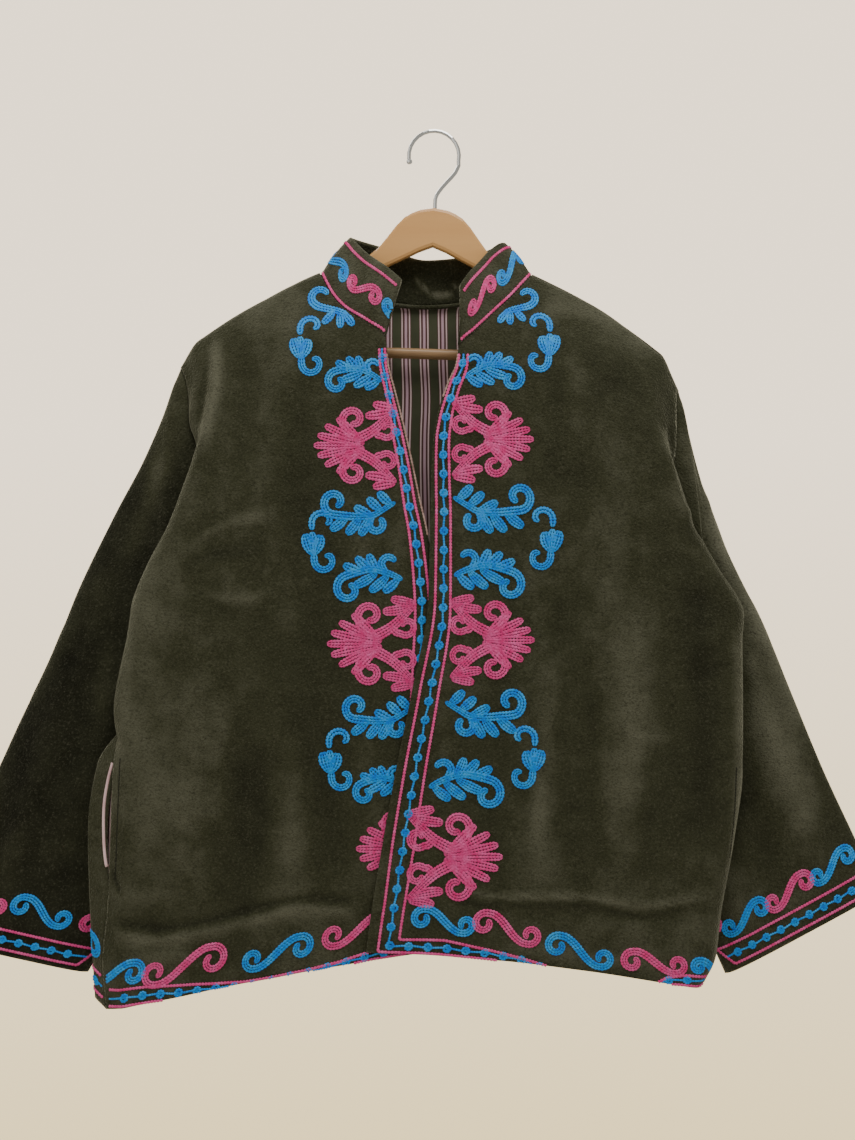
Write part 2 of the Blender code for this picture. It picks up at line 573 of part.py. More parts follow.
# Collar, thick and rounded along its top edge
top_row = 2 * COLLAR_ROWS - 2
neckline = [front_right[top_row::-1, 0], back[0, SIDE : -SIDE], front_left[: top_row + 1, 0]]
round_at = [COLLAR_ROWS - ROWS_AT[top_row::-1], COLLAR_ROWS + NECK_AT[1:-1]]
round_at.append(2 * COLLAR_ROWS + ROWS_AT[: top_row + 1])
low = np.concatenate(neckline)
high = smooth(COLLAR_TOP, np.concatenate(round_at))
rise = high - low
low = low + rise / np.linalg.norm(rise, axis=1, keepdims=True)
net = np.stack([low + (high - low) * share for share in (0, 0.33, 0.66, 0.96)])
normal = ring_normals_out(net, normals(net), net.mean(axis=(0, 1)))
net[1:3] += normal[1:3] * 2.0
inner = net - normal * COLLAR
inner[0, :, 2] = np.maximum(inner[0, :, 2], net[0, :, 2])
crown = (net[-1] + inner[-1]) / 2 + (high - low) * 0.04
wall("collar", net, inner, velvet, crown=crown)

# Roll that covers the back neck seam inside
roll_at = np.linspace(1.7, 4.3, 13)
path = grid(neck, [0.0], roll_at)[0] + np.array([0.0, -8.9, -1.2])
tube("neck_binding", path, np.full(len(path), 2.3), velvet, sides=8)

# Satin facings behind the pocket mouths
for name, rows, facing, reach in (
    ("pocket_right", FRONT_RIGHT, -1, (-5.5, 8.2, 0.0)),
    ("pocket_left", FRONT_LEFT, 1, (-8.0, 7.5, 0.0)),
):
    at = np.linspace(POCKET_FROM + 0.2, POCKET_TO - 0.2, 9)
    mouth = grid(panel_controls(rows), at, [5.2, 5.6, 6.0])
    edge_in = (mouth - outward(mouth, facing) * (VELVET + 2 * SEWN_GAP))[:, 1]
    edge_out = mouth[:, 2] + np.array(reach)
    net = np.stack([edge_in, (edge_in + edge_out) / 2, edge_out], axis=1)
    wall(name, net, net - outward(net, facing) * LINING, satin)


# Hanger


def lean(points):
    """Turn points of the level hanger to the slight lean it hangs at."""
    x, y, z = np.asarray(points, float).T
    rise = z - YOKE_PIVOT_Z
    turned_x = x * math.cos(YOKE_LEAN) + rise * math.sin(YOKE_LEAN)
    turned_z = YOKE_PIVOT_Z - x * math.sin(YOKE_LEAN) + rise * math.cos(YOKE_LEAN)
    return np.stack([turned_x, y, turned_z], axis=1)


def yoke_section(x, top, bottom):
    """A rounded upright section of the wood at one station along it."""
    half = YOKE_THICK / 2
    corner = min(4.0, (top - bottom) * 0.45)
    points = []
    for y_side, z_side in ((1, 1), (1, -1), (-1, -1), (-1, 1)):
        centre_y = y_side * (half - min(corner, half * 0.7))
        centre_z = top - corner if z_side > 0 else bottom + corner
        turns = (0, 45, 90) if y_side * z_side < 0 else (90, 45, 0)
        for turn in turns:
            angle = math.radians(turn)
            y = centre_y + y_side * min(corner, half * 0.7) * math.cos(angle)
            z = centre_z + z_side * corner * math.sin(angle)
            points.append((x, y, z))
    return points


def yoke():
    half = [(row[0], row[1], row[2]) for row in YOKE]
    stations = [(-x, top, bottom) for x, top, bottom in half[:0:-1]] + half
    bm = bmesh.new()
    rings = []
    for x, top, bottom in stations:
        rings.append([bm.verts.new(point) for point in lean(yoke_section(x, top, bottom))])
    for first, second in zip(rings, rings[1:]):
        for k in range(len(first)):
            m = (k + 1) % len(first)
            bm.faces.new((first[k], first[m], second[m], second[k]))
    bm.faces.new(rings[0][::-1])
    bm.faces.new(rings[-1])
    return add_object("hanger_yoke", bm, wood)


def cut(target, cutter):
    cutter.hide_render = True
    cutter.display_type = "WIRE"
    modifier = target.modifiers.new(cutter.name, "BOOLEAN")
    modifier.operation = "DIFFERENCE"
    modifier.solver = "EXACT"
    modifier.object = cutter


def straight(start, end, steps=2):
    return np.linspace(start, end, steps)


arms = yoke()
bar_ends = lean([(-BAR_HALF, 0, BAR_Z), (BAR_HALF, 0, BAR_Z)])
tube("hanger_bar", straight(*bar_ends), [BAR_RADIUS] * 2, oak, sides=20)
for side, name in ((-1, "socket_right"), (1, "socket_left")):
    ends = lean([(side * (BAR_HALF + 0.4), 0, BAR_Z), (side * (BAR_HALF - 20), 0, BAR_Z)])
    cut(arms, tube(name, straight(*ends), [BAR_RADIUS + 0.35] * 2, oak, sides=20))

angles = np.radians(np.linspace(186, -12, 15))
arc = [(HOOK_ARC * math.cos(a), 0.0, HOOK_ARC_Z + HOOK_ARC * math.sin(a)) for a in angles]
shank = smooth(np.array([(x, 0.0, z) for x, z in HOOK_SHANK]), np.linspace(0, len(HOOK_SHANK) - 1, 13))
wire = np.concatenate([arc, shank])
tip = [0.8, 2.1, 2.9, TIP_RADIUS, 2.8, HOOK_RADIUS]
tip_path = [arc[0] + np.array([0.15, 0.0, -1.0]) * reach for reach in (5.6, 5.2, 4.2, 2.9, 1.6, 0.7)]
wire = np.concatenate([tip_path, wire])
radii = tip + [HOOK_RADIUS] * (len(wire) - len(tip))
tube("hanger_hook", wire, radii, chrome, sides=8)
cut(arms, tube("shank_hole", straight((1.0, 0, -90.4), (1.0, 0, -70.0)), [HOOK_RADIUS + 0.35] * 2, chrome, 16))
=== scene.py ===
# %% [markdown]
# # A velvet suzani jacket on its hanger
# The imported solids give every size. This script dresses them: it repeats each cloth surface with more
# points, lays listed soft folds into it, and sews the chain-stitch embroidery on as real stitches.
# Sizes in the tables are millimetres in the frame of the part: X to the viewer's right, Y away, Z up.

# %% Load the frame
import math

import bmesh
import bpy
import numpy as np
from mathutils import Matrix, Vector
from mathutils.bvhtree import BVHTree


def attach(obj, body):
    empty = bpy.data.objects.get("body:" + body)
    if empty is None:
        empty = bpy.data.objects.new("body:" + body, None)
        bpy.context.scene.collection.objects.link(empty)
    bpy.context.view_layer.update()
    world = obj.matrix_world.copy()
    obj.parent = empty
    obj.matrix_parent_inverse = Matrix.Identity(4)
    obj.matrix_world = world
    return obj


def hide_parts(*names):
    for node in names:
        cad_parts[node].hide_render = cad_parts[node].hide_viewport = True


MM = 0.001
MM_IN_METRE = 1000

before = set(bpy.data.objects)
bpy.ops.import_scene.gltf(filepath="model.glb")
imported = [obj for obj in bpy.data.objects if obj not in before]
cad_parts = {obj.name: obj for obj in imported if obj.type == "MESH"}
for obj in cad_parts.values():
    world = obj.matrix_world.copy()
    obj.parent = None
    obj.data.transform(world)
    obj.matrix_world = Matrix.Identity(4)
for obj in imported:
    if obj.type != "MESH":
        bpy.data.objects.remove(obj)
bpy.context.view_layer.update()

# %% [markdown]
# ## Camera, wall colour and light
# The jacket was photographed straight on, from about 1.3 m, against a pale cream wall in soft daylight
# from above. A wall right behind the jacket would block every view from the back, so the world itself is
# pale, with painted shade that makes it darker and yellower below, as a wall lit from above; a floor lies
# far below, and a large lamp above gives the shading.
# The world has two backgrounds, so that what the camera sees can be brighter than what lights the cloth.

# %% Camera
CAMERA_PLACE = (-0.0067, -1.345, -0.4523)
CAMERA_LENS = 41.05
SENSOR_WIDTH = 36.0
scene = bpy.context.scene


def new_object(name, data):
    """An object that holds the given data, linked into the scene."""
    obj = bpy.data.objects.new(name, data)
    scene.collection.objects.link(obj)
    return obj


camera = new_object("camera", bpy.data.cameras.new("camera"))
camera.location = CAMERA_PLACE
camera.rotation_euler = (math.pi / 2, 0, 0)
camera.data.lens = CAMERA_LENS
camera.data.sensor_width = SENSOR_WIDTH
camera.data.sensor_fit = "AUTO"
scene.camera = camera
print("camera:", CAMERA_PLACE, "lens:", CAMERA_LENS)

# %% World
LIGHT_COLOUR = (0.74, 0.72, 0.66, 1)
LIGHT_STRENGTH = 0.68
# Painted shade on the wall: the camera sees it darker and yellower below than above, as a wall lit from
# above
SHADED_WALL_BELOW = (0.84, 0.665, 0.335, 1)
LIT_WALL_ABOVE = (1.08, 0.91, 0.69, 1)
WALL_STRENGTH = 2.0
FADE_FROM = -0.42
FADE_TO = 0.10


def pale_world():
    """A world that lights the cloth evenly, and looks to the camera like a pale wall with painted shade,
    darker below.
    """
    world = bpy.data.worlds.new("pale_wall")
    world.use_nodes = True
    tree = world.node_tree
    soft_light = tree.nodes["Background"]
    soft_light.inputs["Color"].default_value = LIGHT_COLOUR
    soft_light.inputs["Strength"].default_value = LIGHT_STRENGTH
    seen_wall = tree.nodes.new("ShaderNodeBackground")
    seen_wall.inputs["Strength"].default_value = WALL_STRENGTH
    look = tree.nodes.new("ShaderNodeTexCoord")
    parts = tree.nodes.new("ShaderNodeSeparateXYZ")
    rise = tree.nodes.new("ShaderNodeMapRange")
    rise.inputs["From Min"].default_value = FADE_FROM
    rise.inputs["From Max"].default_value = FADE_TO
    fade = tree.nodes.new("ShaderNodeValToRGB")
    fade.color_ramp.elements[0].color = SHADED_WALL_BELOW
    fade.color_ramp.elements[1].color = LIT_WALL_ABOVE
    ray = tree.nodes.new("ShaderNodeLightPath")
    choose = tree.nodes.new("ShaderNodeMixShader")
    for made, read in (
        (look.outputs["Generated"], parts.inputs["Vector"]),
        (parts.outputs["Z"], rise.inputs["Value"]),
        (rise.outputs["Result"], fade.inputs["Fac"]),
        (fade.outputs["Color"], seen_wall.inputs["Color"]),
        (ray.outputs["Is Camera Ray"], choose.inputs["Fac"]),
        (soft_light.outputs["Background"], choose.inputs[1]),
        (seen_wall.outputs["Background"], choose.inputs[2]),
        (choose.outputs["Shader"], tree.nodes["World Output"].inputs["Surface"]),
    ):
        tree.links.new(made, read)
    return world


scene.world = pale_world()
print("world:", scene.world.name)

# %% Lamps and floor
FLOOR_HALF = 1.7
FLOOR_Z = -1.9
FLOOR_COLOUR = (0.84, 0.77, 0.64, 1)


def add_lamp(name, place, aim, size, watts, colour):
    """A square soft lamp at a place, turned to face a point."""
    lamp = bpy.data.lights.new(name, "AREA")
    lamp.size = size
    lamp.energy = watts
    lamp.color = colour
    holder = new_object(name, lamp)
    holder.location = place
    holder.rotation_euler = (Vector(aim) - Vector(place)).to_track_quat("-Z", "Y").to_euler()


def add_floor():
    """A wide pale floor, well below the hem."""
    bm = bmesh.new()
    bmesh.ops.create_grid(bm, x_segments=1, y_segments=1, size=FLOOR_HALF)
    bmesh.ops.translate(bm, verts=bm.verts, vec=(0, 0, FLOOR_Z))
    mesh = bpy.data.meshes.new("floor")
    bm.to_mesh(mesh)
    bm.free()
    floor = new_object("floor", mesh)
    paint = bpy.data.materials.new("floor_paint")
    paint.use_nodes = True
    shader = paint.node_tree.nodes["Principled BSDF"]
    shader.inputs["Base Color"].default_value = FLOOR_COLOUR
    shader.inputs["Roughness"].default_value = 0.9
    mesh.materials.append(paint)


add_lamp("daylight", (0.35, -1.15, 1.6), (0, 0, -0.4), 1.2, 30, (1.0, 0.98, 0.94))
add_lamp("fill", (-1.6, -1.2, 0.2), (0, 0, -0.5), 1.6, 6, (1.0, 0.97, 0.92))
add_lamp("behind", (-0.4, 1.7, 1.2), (0, 0, -0.5), 1.4, 26, (1.0, 0.98, 0.94))
add_floor()
print("lamps:", len(bpy.data.lights), "floor at", FLOOR_Z, "m")

# %% [markdown]
# ## The body halves, row by row
# The jacket hangs flat, so a body half is read as 19 rows from the shoulder seam to the hem. Each row
# has the opening edge (or the neck column of the back), three depths across the chest, the fold at the
# side and the seam. The same tables made the solids, so the cloth lands on them with no fitting. A cloth
# simulation could hang the jacket too, but it would fall differently from the real one.

# %% Rows of the fronts
# The edge is the neckline and then the opening, or the neck column of the back.
# y25, y50 and y72 are depths at those fractions of the way from the edge to the fold.
# The seam is the armhole down to the underarm, and then the side seam. The rise lifts a row's middle.
PANEL_COLUMNS = (
    "edge_x edge_z edge_y y25 y50 y72 roll_y fold_x fold_z fold_y seam_x seam_z seam_y rise"
).split()
CHEST = (0.25, 0.5, 0.72)
ROLL_INSET = 9.0

FRONT_RIGHT = [
    (-118, -146, 0, 0, 0, 0, 0, -246, -217, 0, -262, -243, 0, 6),
    (-116.5, -148.5, -6, -6.5, -6.5, -6.5, -6, -246, -219.5, -5.5, -261, -245, -3, 6),
    (-113.5, -155, -11.5, -11, -11, -11, -11, -245.5, -225, -10, -259, -249, -5, 6),
    (-105, -171, -18.5, -21, -22, -21, -19, -243, -240, -16, -255.5, -258, -8, 5),
    (-91, -188, -30, -32, -33, -30, -26, -240, -261, -21, -252, -275, -10, 4),
    (-68, -204, -41.5, -41, -40, -36, -31, -238, -286, -24, -250, -297, -12, 3),
    (-49, -219, -46, -46, -45, -41, -35, -238, -312, -25, -245, -320, -13.5, 2),
    (-46, -245, -46, -47, -47, -44, -38, -246, -340, -25, -239, -347, -13, 1),
    (-38, -276, -45, -48, -48, -46, -39, -257, -371, -26, -242, -379, -12, 0),
    (-29, -312, -45, -48, -49, -47, -39, -271, -408, -26, -254, -415, -11, 0),
    (-21, -348, -45, -48, -49, -47, -39, -291, -447, -25, -271, -450, -9, 0),
    (-14, -382, -45, -47, -49, -47, -39, -305, -481, -24, -291, -479, -8.5, 0),
    (-6, -418, -45, -47, -49, -47, -39, -312, -521, -24, -298, -519, -12.5, 0),
    (3, -500, -45, -46, -48, -47, -39, -325, -595, -24, -316, -593, -14, 0),
    (3, -580, -45, -46, -48, -48, -45.5, -312, -650, -42.5, -323, -650, -36, 0),
    (-3, -655, -45, -46, -48, -48, -46, -315, -720, -42.5, -326, -720, -36, 0),
    (-10, -730, -45, -46, -47, -47, -46, -318, -790, -42.5, -329, -790, -36, 0),
    (-14, -790, -45, -45, -46, -46, -45, -323, -847, -41.5, -334, -846, -35, 1),
    (-17, -836, -45, -44, -45, -45, -44, -318, -893, -40, -331, -895, -34, 3),
]

FRONT_LEFT = [
    (102, -147, 0, 0, 0, 0, 0, 236, -231, 0, 253, -267, 0, 7),
    (100.5, -149.5, -6, -6.5, -6.5, -6.5, -6, 236, -233.5, -5.5, 252, -269, -3, 7),
    (94.5, -156.5, -11.5, -11, -11, -11, -11, 235.5, -239, -10, 250.5, -273, -5, 7),
    (80, -173, -19, -21, -22, -21, -19, 233, -254, -16, 249.5, -283, -8, 6),
    (62, -191, -29, -32, -33, -30, -26, 230, -274, -21, 249, -299, -10, 5),
    (41, -212, -41, -41, -40, -36, -31, 229, -299, -24, 248.5, -320, -12, 4),
    (25, -228, -49, -47, -45, -41, -35, 236, -326, -25, 247, -342, -13, 3),
    (22, -246, -50, -48, -47, -44, -38, 247, -353, -25, 243, -366, -13, 2),
    (13, -267, -51, -50, -48, -46, -39, 257, -384, -26, 247, -394, -12, 1),
    (4, -294, -51, -50, -49, -47, -39, 268, -414, -26, 254, -428, -11, 0),
    (-1, -322, -51, -51, -50, -47, -39, 288, -449, -25, 270, -462, -9, 0),
    (-3, -354, -51, -51, -50, -47, -39, 314, -497, -24, 296, -500, -8.5, 0),
    (-4, -400, -51, -51, -50, -47, -40, 312, -530, -25, 304, -532, -15.5, 0),
    (-6, -482, -51, -51, -50, -47, -41, 312, -597, -28, 308, -598, -20, 0),
    (-22, -572, -51, -51, -50, -48, -43, 311, -660, -33, 313.5, -660, -25, 0),
    (-38, -650, -51, -51, -50, -48, -43, 302.5, -728, -33, 305, -728, -25, 1),
    (-52, -728, -51, -51, -50, -48, -43, 289.5, -797, -33, 292, -797, -25, 3),
    (-63, -795, -51, -51, -50, -48, -43, 283.5, -845, -33, 286, -845, -26, 5),
    (-68, -833, -51, -50, -49, -48, -44, 266, -872, -38, 273, -869, -30, 7),
]
print("rows in a front:", len(FRONT_RIGHT))

# %% Rows of the back
BACK_RIGHT = [
    (-118, -146, 0, 0, 0, 0, 0, -246, -217, 0, -262, -243, 0, 6),
    (-117, -149, 4.5, 6.5, 6.5, 6.5, 6, -246, -219.5, 5.5, -261.5, -245, 3, 6),
    (-113, -155, 9.5, 11, 11, 11, 11, -246, -225, 10, -260.5, -249, 6, 6),
    (-112, -172, 16, 16, 16, 16, 15.5, -246, -240, 14.5, -258, -259, 10, 5),
    (-112, -195, 19, 19, 19, 18.5, 18, -245, -260, 16.5, -255, -275, 13, 4),
    (-113, -222, 20, 20, 20, 19, 18.5, -243, -284, 17.5, -252, -296, 15, 3),
    (-114, -248, 20.5, 20.5, 20.5, 19.5, 19, -240, -310, 18, -249, -320, 16, 2),
    (-115, -278, 21, 21, 21, 20, 19, -238, -340, 18.5, -247, -350, 17, 1),
    (-116, -312, 21, 21, 21, 20, 19, -238, -372, 18.5, -248, -382, 17, 0),
    (-117, -350, 21, 21, 21, 19.5, 18, -241, -406, 17, -253, -414, 15, 0),
    (-118, -390, 21, 21, 21, 18, 14, -252, -440, 14.5, -268, -448, 13, 0),
    (-118, -428, 21, 21, 20.5, 15, 6, -276, -476, 1, -291, -479, -8.5, 0),
    (-118, -470, 21, 21, 19, 5, -10, -290, -520, -12, -298, -519, -12.5, 0),
    (-118, -555, 21, 21, 17, -1, -10, -308, -594, -12, -316, -593, -14, 0),
    (-118, -620, 21, 21, 16, -1, -11, -344, -650, -21, -323, -650, -36, 0),
    (-118, -695, 21, 21, 16, -1, -8, -353, -718, -21, -326, -720, -36, 0),
    (-118, -768, 21, 21, 16, 0, -8, -351, -790, -21, -329, -790, -36, 0),
    (-118, -825, 20, 20, 17, 6, -5, -348, -848, -21, -334, -846, -35, 0),
    (-118, -862, 19, 19, 17, 11, 0, -346, -886, -20, -331, -895, -34, 0),
]

BACK_LEFT = [
    (102, -147, 0, 0, 0, 0, 0, 236, -231, 0, 253, -267, 0, 7),
    (100.5, -150, 4.5, 6.5, 6.5, 6.5, 6, 236, -233.5, 5.5, 252.5, -269, 3, 7),
    (97, -156, 9.5, 11, 11, 11, 11, 236, -239, 10, 251.5, -273, 6, 7),
    (96, -173, 16, 16, 16, 16, 15.5, 236, -254, 14.5, 250, -283, 10, 6),
    (97, -196, 19, 19, 19, 18.5, 18, 235, -274, 16.5, 248.5, -299, 13, 5),
    (98, -223, 20, 20, 20, 19, 18.5, 234, -298, 17.5, 247.5, -320, 15, 4),
    (99, -249, 20.5, 20.5, 20.5, 19.5, 19, 233, -325, 18, 247, -343, 16, 3),
    (100, -279, 21, 21, 21, 20, 19, 233, -356, 18.5, 247, -368, 17, 2),
    (101, -313, 21, 21, 21, 20, 19, 236, -388, 18.5, 250, -398, 17, 1),
    (102, -351, 21, 21, 21, 19.5, 18, 243, -422, 17, 256, -431, 15, 0),
    (102, -391, 21, 21, 21, 18, 14, 257, -458, 14.5, 270, -466, 13, 0),
    (102, -429, 21, 21, 20.5, 15, 6, 281, -496, 1, 296, -500, -8.5, 0),
    (102, -471, 21, 21, 19, 5, -12, 295, -534, -15, 304, -532, -15.5, 0),
    (102, -556, 21, 21, 17, -1, -10, 301, -600, -14, 308, -598, -20, 0),
    (102, -621, 21, 21, 16, -2, -10, 307, -661, -14, 313.5, -660, -25, 0),
    (102, -696, 21, 21, 16, -1, -8, 299, -729, -14, 305, -728, -25, 0),
    (102, -769, 21, 21, 16, 0, -7, 286, -797, -14, 292, -797, -25, 0),
    (102, -826, 20, 20, 17, 4, -4, 280, -844, -13, 286, -845, -26, 0),
    (102, -858, 19, 19, 16, 8, -2, 268, -867, -15, 273, -869, -30, 0),
]

# Height and depth of the back's middle, row by row
BACK_MIDDLE_Z = [
    -177, -179.5, -184, -197, -215, -238, -261, -289, -321, -357,
    -395, -432, -473, -554, -618, -690, -760, -814, -850,
]
BACK_MIDDLE_Y = [21, 21, 21, 21, 21.5, 22, 22, 22, 22, 22, 22, 22, 22, 22, 22, 22, 22, 21, 20]
BACK_MIDDLE_X = -8.0

# How far the neckline has come, in x, y and z, from the shoulder point to the middle
NECK_SHARES = [(0, 0, 0), (0.12, 0.5, 0.2), (0.5, 0.85, 0.82), (1, 1, 1)]

# The row where the armhole ends, and the rows between which each pocket mouth opens
UNDERARM = 11
POCKET_FROM = 13.9
POCKET_TO = 15.8
POCKET_GAPE = 7.0
print("rows in a half of the back:", len(BACK_RIGHT))

# %% Rings of the sleeves and stations of the collar
# Outer edge, inner edge, then front and back depth of each ring below the armhole:
# (outer x, outer z, inner x, inner z, front y, back y)

SLEEVE_RIGHT = [
    (-269, -257, -292, -491, -10, 20),
    (-282, -292, -295, -514, -7, 22),
    (-303, -340, -297, -543, -4, 24),
    (-333, -394, -290, -580, -2, 25),
    (-368, -467, -273, -625, 0, 26),
    (-402, -548, -276, -680, 0, 26),
    (-437, -620, -290, -735, 0, 26),
    (-476, -704, -314, -785, 0, 26),
    (-508, -770, -337, -828, 0, 25),
    (-537, -830, -360, -871, 0, 24),
]

SLEEVE_LEFT = [
    (257, -278, 298, -513, -10, 20),
    (262, -300, 301, -535, -7, 22),
    (271, -337, 306, -562, -6, 24),
    (289, -392, 302, -594, -4, 25),
    (318, -457, 287, -641, -1, 26),
    (345, -512, 276, -690, 0, 26),
    (374, -581, 269, -738, 0, 26),
    (405, -656, 274, -785, 0, 26),
    (438, -727, 286, -830, 0, 25),
    (464, -787, 304, -873, 0, 24),
]

# Top edge of the collar, from the right front corner round the back to the left front corner.
# Its lower edge is the neckline, with a station at each row of the fronts and column of the neck.
COLLAR_TOP = [
    (-33, -50, -162),
    (-48, -42, -147.5),
    (-68, -24, -130),
    (-79, -11, -117),
    (-84, -4, -110),
    (-86, 0, -107.5),
    (-86.5, 3, -107),
    (-80, 9, -108.5),
    (-47, 19, -116),
    (-8, 22, -127),
    (39, 20, -123),
    (68, 9.5, -114),
    (73.5, 3, -113),
    (72.5, 0, -113),
    (69, -4, -114),
    (58.5, -9, -122),
    (47, -21, -137),
    (35, -35, -153),
    (28, -45, -166),
]
print("rings in a sleeve:", len(SLEEVE_RIGHT), "stations of the collar:", len(COLLAR_TOP))

# %% [markdown]
# ## Reading a smooth surface from a short table
# A cubic that never overshoots its table keeps the cloth flat where the rows are flat, while an ordinary
# spline would ripple there. Read down the rows and then across the columns, it gives the surface at any
# fractional row and column.

# %% Smooth reading
def tangents(values):
    """Slopes along the first axis that never overshoot the given values."""
    steps = np.diff(values, axis=0)
    before = steps[:-1]
    after = steps[1:]
    same = before * after > 0
    total = np.where(same, before + after, 1.0)
    middle = np.where(same, 2 * before * after / total, 0.0)
    return np.concatenate([steps[:1], middle, steps[-1:]])


def smooth(values, at):
    """Values read between rows at fractional row numbers, along the first axis."""
    values = np.asarray(values, float)
    at = np.asarray(at, float)
    low = np.clip(np.floor(at).astype(int), 0, len(values) - 2)
    t = (at - low).reshape((-1,) + (1,) * (values.ndim - 1))
    slope = tangents(values)
    start = values[low] * (2 * t**3 - 3 * t**2 + 1) + slope[low] * (t**3 - 2 * t**2 + t)
    end = values[low + 1] * (3 * t**2 - 2 * t**3) + slope[low + 1] * (t**3 - t**2)
    return start + end


def grid(controls, rows_at, columns_at):
    """Points of the surface through a net of controls, at the given rows and columns."""
    down = smooth(controls, rows_at)
    return smooth(down.transpose(1, 0, 2), columns_at).transpose(1, 0, 2)


print("halfway from 0 to 2, on the way to 3:", smooth([0, 2, 3], [0.5]))


# %% Nets of the body
def panel_controls(rows):
    """Control points of a body half: edge, three chest columns, roll, fold and seam."""
    get = {name: np.array(values, float) for name, values in zip(PANEL_COLUMNS, zip(*rows))}
    edge, fold, seam = (
        np.stack([get[part + "_x"], get[part + "_y"], get[part + "_z"]], axis=1)
        for part in ("edge", "fold", "seam")
    )
    width = np.abs(fold[:, 0] - edge[:, 0])
    shares = [np.full(len(rows), fraction) for fraction in CHEST] + [1 - ROLL_INSET / width]
    across = [edge]
    for share, depth in zip(shares, ("y25", "y50", "y72", "roll_y")):
        point = edge + (fold - edge) * share[:, None]
        point[:, 1] = get[depth]
        point[:, 2] += get["rise"] * 4 * share * (1 - share)
        across.append(point)
    return np.stack(across + [fold, seam], axis=1)


def back_controls():
    """The two back halves and the net of the part between their neck columns."""
    right = panel_controls(BACK_RIGHT)
    left = panel_controls(BACK_LEFT)
    middle = np.stack(
        [np.full(len(BACK_MIDDLE_Z), BACK_MIDDLE_X), BACK_MIDDLE_Y, BACK_MIDDLE_Z], axis=1
    )
    across = [right[:, 0] + (middle - right[:, 0]) * share for share in NECK_SHARES]
    across += [left[:, 0] + (middle - left[:, 0]) * share for share in NECK_SHARES[-2::-1]]
    return right, np.stack(across, axis=1), left


def gape(rows_at):
    """How far the back edge stands off the front edge where a pocket mouth opens."""
    t = np.clip((np.asarray(rows_at, float) - POCKET_FROM) / (POCKET_TO - POCKET_FROM), 0, 1)
    return POCKET_GAPE * np.sin(math.pi * t) ** 1.5


def back_grid(rows_at, side_at, neck_at):
    """The whole back: right half from its seam, the part below the neck, then the left half."""
    right, neck, left = back_controls()
    one = grid(right, rows_at, side_at)[:, ::-1]
    two = grid(neck, rows_at, neck_at)
    three = grid(left, rows_at, side_at)
    reach = np.clip(np.asarray(side_at, float) - 5.0, 0, 1)
    shift = gape(rows_at)[:, None] * reach[None, :]
    one[:, :, 0] -= shift[:, ::-1] * 0.8
    one[:, :, 1] += shift[:, ::-1] * 0.5
    three[:, :, 0] -= shift * 0.2
    three[:, :, 1] += shift
    return np.concatenate([one[:, :-1], two, three[:, 1:]], axis=1)


print("back middle at the hem:", back_controls()[1][-1, 3])

# %% Rings of a sleeve
RING_AT = np.array([0, 1, 2, 3, 4, 5, 6, 7, 8, 9, 10, 10.5, UNDERARM])
RING_SHARE = np.array([0, 0.01, 0.03, 0.07, 0.14, 0.23, 0.33, 0.44, 0.58, 0.73, 0.88, 0.95, 1])
ROUND_SHARE = np.concatenate([RING_SHARE, RING_SHARE[-2:0:-1]])


def unit(vectors):
    """Vectors made one long, along their last axis."""
    return vectors / np.maximum(np.linalg.norm(vectors, axis=-1, keepdims=True), 1e-9)


def armhole(front, back, at):
    """The armhole as a closed ring of points: down the front edge and up the back edge."""
    down = smooth(front[:, -1], at)
    up = smooth(back[:, -1], at)
    return np.concatenate([down, up[-2:0:-1]])


def sleeve_rings(rows, front, back, facing):
    """Rings of a sleeve: the first just inside the armhole, and then one for each row of its table."""
    first = armhole(front, back, RING_AT)
    inward = unit(first.mean(axis=0) - first)
    clear = 1.0 + 1.6 * ROUND_SHARE**3
    rings = [first + inward * clear[:, None] + np.array([0.3 * facing, 0.4, 0.0])]
    side = np.repeat([1.0, -1.0], [len(RING_SHARE), len(RING_SHARE) - 2])
    swell = side * (4 * ROUND_SHARE * (1 - ROUND_SHARE)) ** 0.35
    for outer_x, outer_z, inner_x, inner_z, front_y, back_y in rows:
        x = outer_x + (inner_x - outer_x) * ROUND_SHARE
        z = outer_z + (inner_z - outer_z) * ROUND_SHARE
        y = (front_y + back_y) / 2 - swell * (back_y - front_y) / 2
        rings.append(np.stack([x, y, z], axis=1))
    return np.stack(rings)


print("points in a ring of a sleeve:", len(ROUND_SHARE))

# %% [markdown]
# ## Even sampling
# Stitches and folds need points about 5 mm apart everywhere, while the rows of the tables lie close
# together at the shoulder and far apart below. These helpers measure a line of the surface and give
# the fractional rows or columns that cut it into equal steps.

# %% Even steps along a line
def lengths(path):
    """How far along a line of points each point lies."""
    return np.concatenate([[0], np.cumsum(np.linalg.norm(np.diff(path, axis=0), axis=1))])


def even(line, step, at):
    """Fractional places, taken from at, that cut a line of points into equal steps."""
    length = lengths(line)
    count = max(2, int(round(length[-1] / step)) + 1)
    return np.interp(np.linspace(0, length[-1], count), length, at)


ROW_STEP = 5.0
COLUMN_STEP = 4.6
NECK_STEP = 6.0
fine = np.linspace(0, 18, 721)
ROWS = even(grid(panel_controls(FRONT_RIGHT), fine, [2.0])[:, 0], ROW_STEP, fine)
fine = np.linspace(0, 6, 241)
COLUMNS = even(grid(panel_controls(FRONT_RIGHT), [10.0], fine)[0], COLUMN_STEP, fine)
COLUMNS = np.unique(np.concatenate([COLUMNS, [4.5, 5.0, 5.25, 5.5, 5.75, 6.0]]))
NECK_COLUMNS = even(grid(back_controls()[1], [6.0], fine)[0], NECK_STEP, fine)
print("rows:", len(ROWS), "columns:", len(COLUMNS), "neck columns:", len(NECK_COLUMNS))
